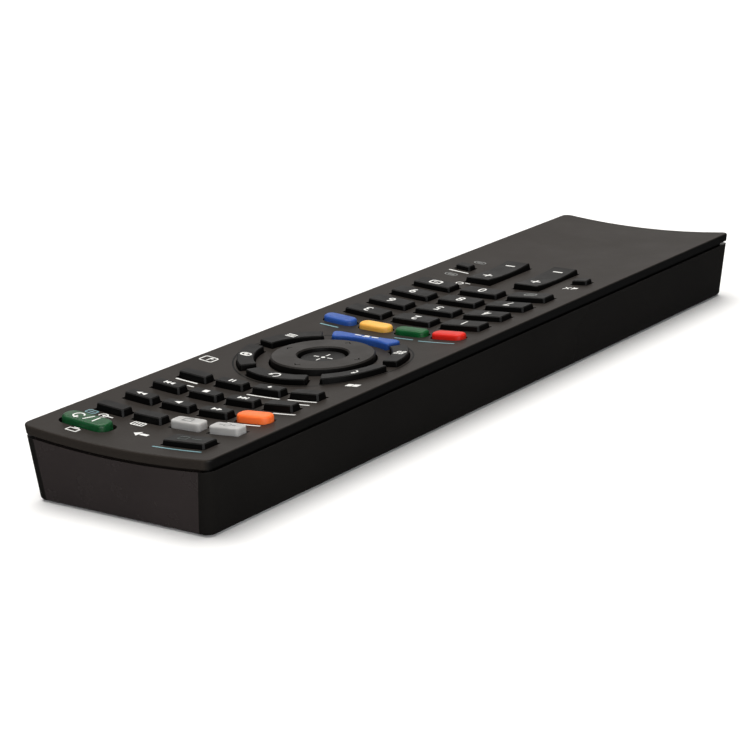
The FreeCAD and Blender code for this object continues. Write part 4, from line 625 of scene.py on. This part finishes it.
# a rounded frame, open in the middle
def outline(x, y, width, depth, line, corner):
    piece = bar(x, y, width, depth)
    bpy.ops.object.mode_set(mode="EDIT")
    bpy.ops.mesh.select_all(action="SELECT")
    bpy.ops.mesh.bevel(offset=corner, segments=drawing["cornerSteps"], affect="VERTICES")
    bpy.ops.mesh.select_all(action="SELECT")
    bpy.ops.mesh.inset(thickness=line)
    bpy.ops.mesh.delete(type="FACE")
    bpy.ops.object.mode_set(mode="OBJECT")
    return piece


# a line bent round x, y from one angle to another
def arc(x, y, radius, line, start, end, steps=drawing["arcSteps"]):
    piece = bar(radius, 0, line, drawing["hair"])
    for point in piece.data.vertices:
        point.select = point.co.y > 0
    for edge in piece.data.edges:
        edge.select = all(piece.data.vertices[v].co.y > 0 for v in edge.vertices)
    for face in piece.data.polygons:
        face.select = False
    bpy.ops.object.mode_set(mode="EDIT")
    bpy.ops.mesh.spin(steps=steps, angle=math.radians(end - start), center=(0, 0, 0), axis=(0, 0, 1))
    bpy.ops.mesh.select_all(action="SELECT")
    bpy.ops.mesh.remove_doubles(threshold=drawing["hair"])
    bpy.ops.mesh.normals_make_consistent(inside=False)
    bpy.ops.object.mode_set(mode="OBJECT")
    piece.rotation_euler.z = math.radians(start)
    piece.location = (x, y, 0)
    return flatten(piece)


def digit(x, y, figure):
    bpy.ops.object.text_add(location=(x, y, 0))
    piece = bpy.context.object
    piece.data.body = figure
    piece.data.size = drawing["digitHeight"]
    piece.data.offset = drawing["digitWeight"] * drawing["digitHeight"]
    piece.data.align_x = "CENTER"
    piece.data.align_y = "CENTER"
    piece.data.resolution_u = drawing["digitSteps"]
    bpy.ops.object.convert(target="MESH")
    return flatten(bpy.context.object)


drawers = {"bar": bar, "head": head, "disc": disc, "outline": outline, "arc": arc, "digit": digit}

inksAndGrooveShade = {
    "white": {"colour": (0.80, 0.80, 0.78), "shade": (0.7, 0.7, 0.68)},
    "grey": {"colour": (0.2, 0.205, 0.2), "shade": (0.15, 0.155, 0.15)},
    "teal": {"colour": (0.17, 0.32, 0.35), "shade": (0.12, 0.25, 0.28)},
    "dark": {"colour": (0.045, 0.06, 0.055), "shade": (0.03, 0.042, 0.038)},
    # painted shade: near-black ink that draws the groove round the ring as a line
    "line": {"colour": (0.003, 0.003, 0.003), "shade": (0.004, 0.004, 0.004), "shine": 0.05},
}
inkLook = {"cloud": 0.9, "grain": 0.15, "grainStrength": 0.3, "grainDepth": 0.01, "smudge": 1.2,
           "roughness": (0.4, 0.55), "shine": 0.4}
inkLayer = {
    "lift": 0.006,  # mm off the surface
    "thickness": 0.03,
    "dropFrom": 25,  # a height above every key
    "turn": 180,  # degrees
}

inkMaterials = {name: moulded(name + " ink", {**inkLook, **ink}) for name, ink in inksAndGrooveShade.items()}


# joins the shapes, turns them to read from the battery end, and lays them on the part as a thin layer of ink
# with the near-black line ink it lays painted groove shade, not print
def printMark(name, part, x, y, shapes, ink="white"):
    pieces = [drawers[kind](*sizes) for kind, *sizes in shapes]
    bpy.ops.object.select_all(action="DESELECT")
    for piece in pieces:
        piece.select_set(True)
    bpy.context.view_layer.objects.active = pieces[0]
    if len(pieces) > 1:
        bpy.ops.object.join()
    mark = bpy.context.object
    mark.name = name
    mark.scale = (mm, mm, mm)
    mark.rotation_euler.z = math.radians(inkLayer["turn"])
    mark.location = (x * mm, y * mm, inkLayer["dropFrom"] * mm)
    flatten(mark)
    wrap = mark.modifiers.new("lay down", "SHRINKWRAP")
    wrap.target = surfaces[part]
    wrap.wrap_method = "PROJECT"
    wrap.wrap_mode = "ABOVE_SURFACE"
    wrap.use_project_z = True
    wrap.use_negative_direction = True
    wrap.use_positive_direction = False
    wrap.offset = inkLayer["lift"] * mm
    bpy.ops.object.modifier_apply(modifier=wrap.name)
    layer = mark.modifiers.new("ink layer", "SOLIDIFY")
    layer.thickness = inkLayer["thickness"] * mm
    layer.offset = 1
    bpy.ops.object.modifier_apply(modifier=layer.name)
    mark.data.materials.clear()
    mark.data.materials.append(inkMaterials[ink])
    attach(mark, remote[part]["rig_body"])


# what is printed on the keys: each shape is its kind, its place from the key's middle, then its sizes
keyMarks = {
    "power_key": [("arc", 2.2, 0, 1.15, 0.34, 125, 415), ("bar", 2.2, 0.95, 0.34, 1.3),
                  ("bar", -0.4, 0, 0.34, 2.7, -22), ("bar", -2.4, 0, 0.34, 2.5)],
    "fast_forward_key": [("head", -0.65, 0, 1.25, 1.25), ("head", 0.65, 0, 1.25, 1.25)],
    "play_key": [("head", 0, 0, 1.7, 1.5)],
    "rewind_key": [("head", -0.65, 0, 1.25, 1.25, 180), ("head", 0.65, 0, 1.25, 1.25, 180)],
    "next_key": [("head", -0.9, 0, 1.15, 1.3), ("head", 0.25, 0, 1.15, 1.3), ("bar", 1, 0, 0.32, 1.3)],
    "stop_key": [("bar", 0, 0, 1.3, 1.3)],
    "previous_key": [("head", 0.9, 0, 1.15, 1.3, 180), ("head", -0.25, 0, 1.15, 1.3, 180),
                     ("bar", -1, 0, 0.32, 1.3)],
    "pause_key": [("bar", -0.45, 0, 0.38, 1.4), ("bar", 0.45, 0, 0.38, 1.4)],
    "record_key": [("disc", 0, 0, 0.9, 0.9)],
    **{"number_" + figure: [("digit", 0, 0, figure)] for figure in "1234567890"},
    "display_key": [("outline", 0, 0, 3.2, 2.5, 0.42, 0.7), ("bar", 0, 0, 1.2, 0.36)],
}
dullMarks = {  # key, its ink, then the shapes
    "text_key": ("grey", [("outline", 0, 0, 3.4, 1.9, 0.34, 0.85), ("bar", 0, 0, 1.8, 0.3)]),
    "white_key_inner": ("grey", [("outline", 0, 0.2, 2.5, 1.6, 0.26, 0.2), ("bar", 0, -0.95, 1.3, 0.26)]),
    "white_key_outer": ("grey", [("arc", 0, 0, 0.75, 0.26, 0, 359), ("bar", 1.6, 0, 0.9, 0.26),
                                 ("bar", -1.6, 0, 0.9, 0.26)]),
    "input_key": ("dark", [("outline", 1.6, 0, 2.3, 1.7, 0.24, 0.25), ("bar", -1.7, 0, 2.6, 0.3)]),
}
curvedMarks = {  # key, its turn about the ring, then the shapes
    "exit_key": (151.5, [("bar", 0, y, 2.4, 0.34) for y in (0.7, 0, -0.7)]),
    "options_key": (28.5, [("outline", x, y, 1, 0.95, 0.26, 0.12)
                           for y in (0.6, -0.6) for x in (-0.65, 0.65)]),
    "return_key": (-30.5, [("arc", 0.1, -0.15, 0.85, 0.34, -90, 90), ("head", -0.45, 0.7, 0.8, 1.1, 180)]),
    "info_key": (-149.5, [("outline", 0, 0, 2.7, 1.9, 0.4, 0.8), ("disc", 0, 0, 0.9, 0.8)]),
    "guide_key": (-90, [("arc", 0, 0, 1.1, 0.36, 20, 300), ("head", 1.15, 0.0, 0.9, 1.1, -75)]),
    "home_key": (90, [("bar", 0, -0.36, 1.3, 0.62), ("head", 0, 0.34, 0.72, 2.2, 90),
                      ("bar", -2.3, -0.1, 1.7, 0.4), ("bar", 2.3, -0.1, 1.7, 0.4)]),
}
ringPlace = {"x": 0, "y": -35.7, "keyMiddle": 16.75, "homeMiddle": 15.9, "circle": 19.5, "circleLine": 0.4,
             "circleSteps": 144, "circleTurn": 359.9}


def printKeys():
    for part, shapes in keyMarks.items():
        printMark("mark_" + part, part, *middleOf(part), shapes)
    for part, (ink, shapes) in dullMarks.items():
        printMark("mark_" + part, part, *middleOf(part), shapes, ink)
    for part, (turn, shapes) in curvedMarks.items():
        reach = ringPlace["homeMiddle"] if part == "home_key" else ringPlace["keyMiddle"]
        x = ringPlace["x"] + reach * math.cos(math.radians(turn))
        y = ringPlace["y"] + reach * math.sin(math.radians(turn))
        printMark("mark_" + part, part, x, y, shapes)
    print("marks on the keys")


rockerMarks = {"plusAt": 39.4, "minusAt": 49.4, "length": 2.6, "line": 0.48, "cuts": 3, "shortCuts": 1}


def printRockers():
    length, line = rockerMarks["length"], rockerMarks["line"]
    short = (length - line) / 2
    arm = (short + line) / 2
    level = ("bar", 0, 0, length, line, 0, rockerMarks["cuts"])
    stubs = [("bar", 0, y, line, short, 0, rockerMarks["shortCuts"]) for y in (arm, -arm)]
    for part in ("channel_rocker", "volume_rocker"):
        x, y = middleOf(part)
        printMark("plus_" + part, part, x, rockerMarks["plusAt"], [level, *stubs])
        printMark("minus_" + part, part, x, rockerMarks["minusAt"], [level])
    print("marks on the rockers")


centreMark = {"dot": 0.95, "from": 1.15, "to": 2.5, "line": 0.32}


def printCentre():
    reach = (centreMark["from"] + centreMark["to"]) / 2
    length = centreMark["to"] - centreMark["from"]
    shapes = [("disc", 0, 0, centreMark["dot"], centreMark["dot"])]
    for turn in (0, 90, 180, 270):
        x = reach * math.cos(math.radians(turn))
        y = reach * math.sin(math.radians(turn))
        shapes.append(("bar", x, y, length, centreMark["line"], turn))
    printMark("mark_centre_button", "centre_button", *middleOf("centre_button"), shapes)
    print("mark on the centre button")


# what is printed on the cover: name, place, ink, shapes
coverMarks = [
    ("screen", -14.1, -99.6, "white", [("outline", 0, 0.2, 2.9, 1.7, 0.28, 0.2),
                                       ("bar", 0, -1.0, 1.4, 0.28)]),
    ("card", -18.1, -89.7, "teal", [("outline", 0, 0, 2.6, 1.9, 0.26, 0.4), ("bar", 0, 0, 1.4, 0.26)]),
    ("plug", -13.9, -89.9, "white", [("arc", 0.9, 0, 0.95, 0.3, 30, 330), ("bar", -0.7, 0, 1.9, 0.32),
                                     ("head", 0.75, 0, 0.8, 1.1)]),
    ("film", -5.6, -89.75, "white", [("outline", 0, 0, 3.3, 1.9, 0.28, 0.4), ("bar", -0.75, 0, 0.28, 1.2),
                                     ("bar", 0, 0, 0.28, 1.2), ("bar", 0.75, 0, 0.28, 1.2)]),
    ("pointer", -0.8, -94.5, "white", [("head", 0.9, 0, 1.5, 2.3), ("bar", -0.85, 0, 2, 0.9)]),
    ("inputLine", 12.6, -99.4, "teal", [("bar", 0, 0, 12.4, 0.42, 0, 7)]),
    ("note", -20.9, -49.1, "white", [("outline", 0, 0, 3.6, 3.1, 0.3, 0.6), ("disc", -0.4, -0.6, 0.9, 0.7),
                                     ("bar", -0.08, 0.2, 0.26, 1.3)]),
    ("discLine", -15.4, -63.1, "white", [("bar", 0, 0, 5.8, 0.5, 0, 5)]),
    ("discTick", -12.6, -65.2, "white", [("bar", 0, 0, 1.7, 0.42, 0, 2)]),
    ("blockLineInner", 5.2, -63.2, "white", [("bar", 0, 0, 8.6, 0.42, 0, 6)]),
    ("blockLineOuter", 15.2, -63.0, "white", [("bar", 0, 0, 7.4, 0.42, 0, 6)]),
    ("blockTick", 17.4, -65.3, "white", [("bar", 0, 0, 2.8, 0.42, 0, 2)]),
    ("orangeLine", 17.7, -72.2, "white", [("bar", 0, 0, 5.7, 0.45, 0, 4)]),
    ("whiteKeyLine", 14.3, -80.9, "white", [("bar", 0, 0, 8.4, 0.42, 0, 6)]),
    ("book", 18.2, -49.6, "white", [("bar", -0.85, 0, 1.5, 1.5), ("bar", 0.85, 0, 1.5, 1.5)]),
    ("blueLine", -15.1, -13.4, "teal", [("bar", 0, 0, 5.0, 0.5, 0, 4)]),
    ("greenLine", 5.5, -13.4, "teal", [("bar", 0, 0, 5.0, 0.42, 0, 4)]),
    ("redLine", 14.5, -13.8, "teal", [("bar", 0, 0, 9.6, 0.42, 0, 6)]),
    ("digitalOval", -16.6, 38.1, "grey", [("outline", 0, 0, 3.4, 1.9, 0.26, 0.85), ("bar", 0, 0, 1.9, 0.5)]),
    ("analogueOval", -16.5, 50.7, "grey", [("outline", 0, 0, 3.2, 1.8, 0.26, 0.8), ("bar", 0, 0, 1.6, 0.45)]),
    ("smallKeyLine", -16.4, 41.1, "white", [("bar", 0, 0, 5.6, 0.5, 0, 4)]),
    ("zeroLoop", -9.9, 33.0, "white", [("arc", 0.8, 0, 0.85, 0.3, 0, 359), ("bar", -1.1, -0.6, 1.4, 0.32)]),
    ("mute", 16.8, 39.4, "white", [("bar", -1.2, 0, 0.8, 0.9), ("head", -0.55, 0, 1.1, 2.0, 180),
                                   ("bar", 1.25, 0, 2.3, 0.3, 45), ("bar", 1.25, 0, 2.3, 0.3, -45)]),
]


def printCoverAndGrooveShade():
    for name, x, y, ink, shapes in coverMarks:
        printMark("cover_" + name, "top_cover", x, y, shapes, ink)
    # painted shade: the groove round the ring is drawn as a thin near-black line
    circle = ("arc", 0, 0, ringPlace["circle"], ringPlace["circleLine"],
              0, ringPlace["circleTurn"], ringPlace["circleSteps"])
    printMark("cover_groove_shade", "top_cover", ringPlace["x"], ringPlace["y"], [circle], "line")
    print("marks on the cover")


printKeys()
printRockers()
printCentre()
printCoverAndGrooveShade()
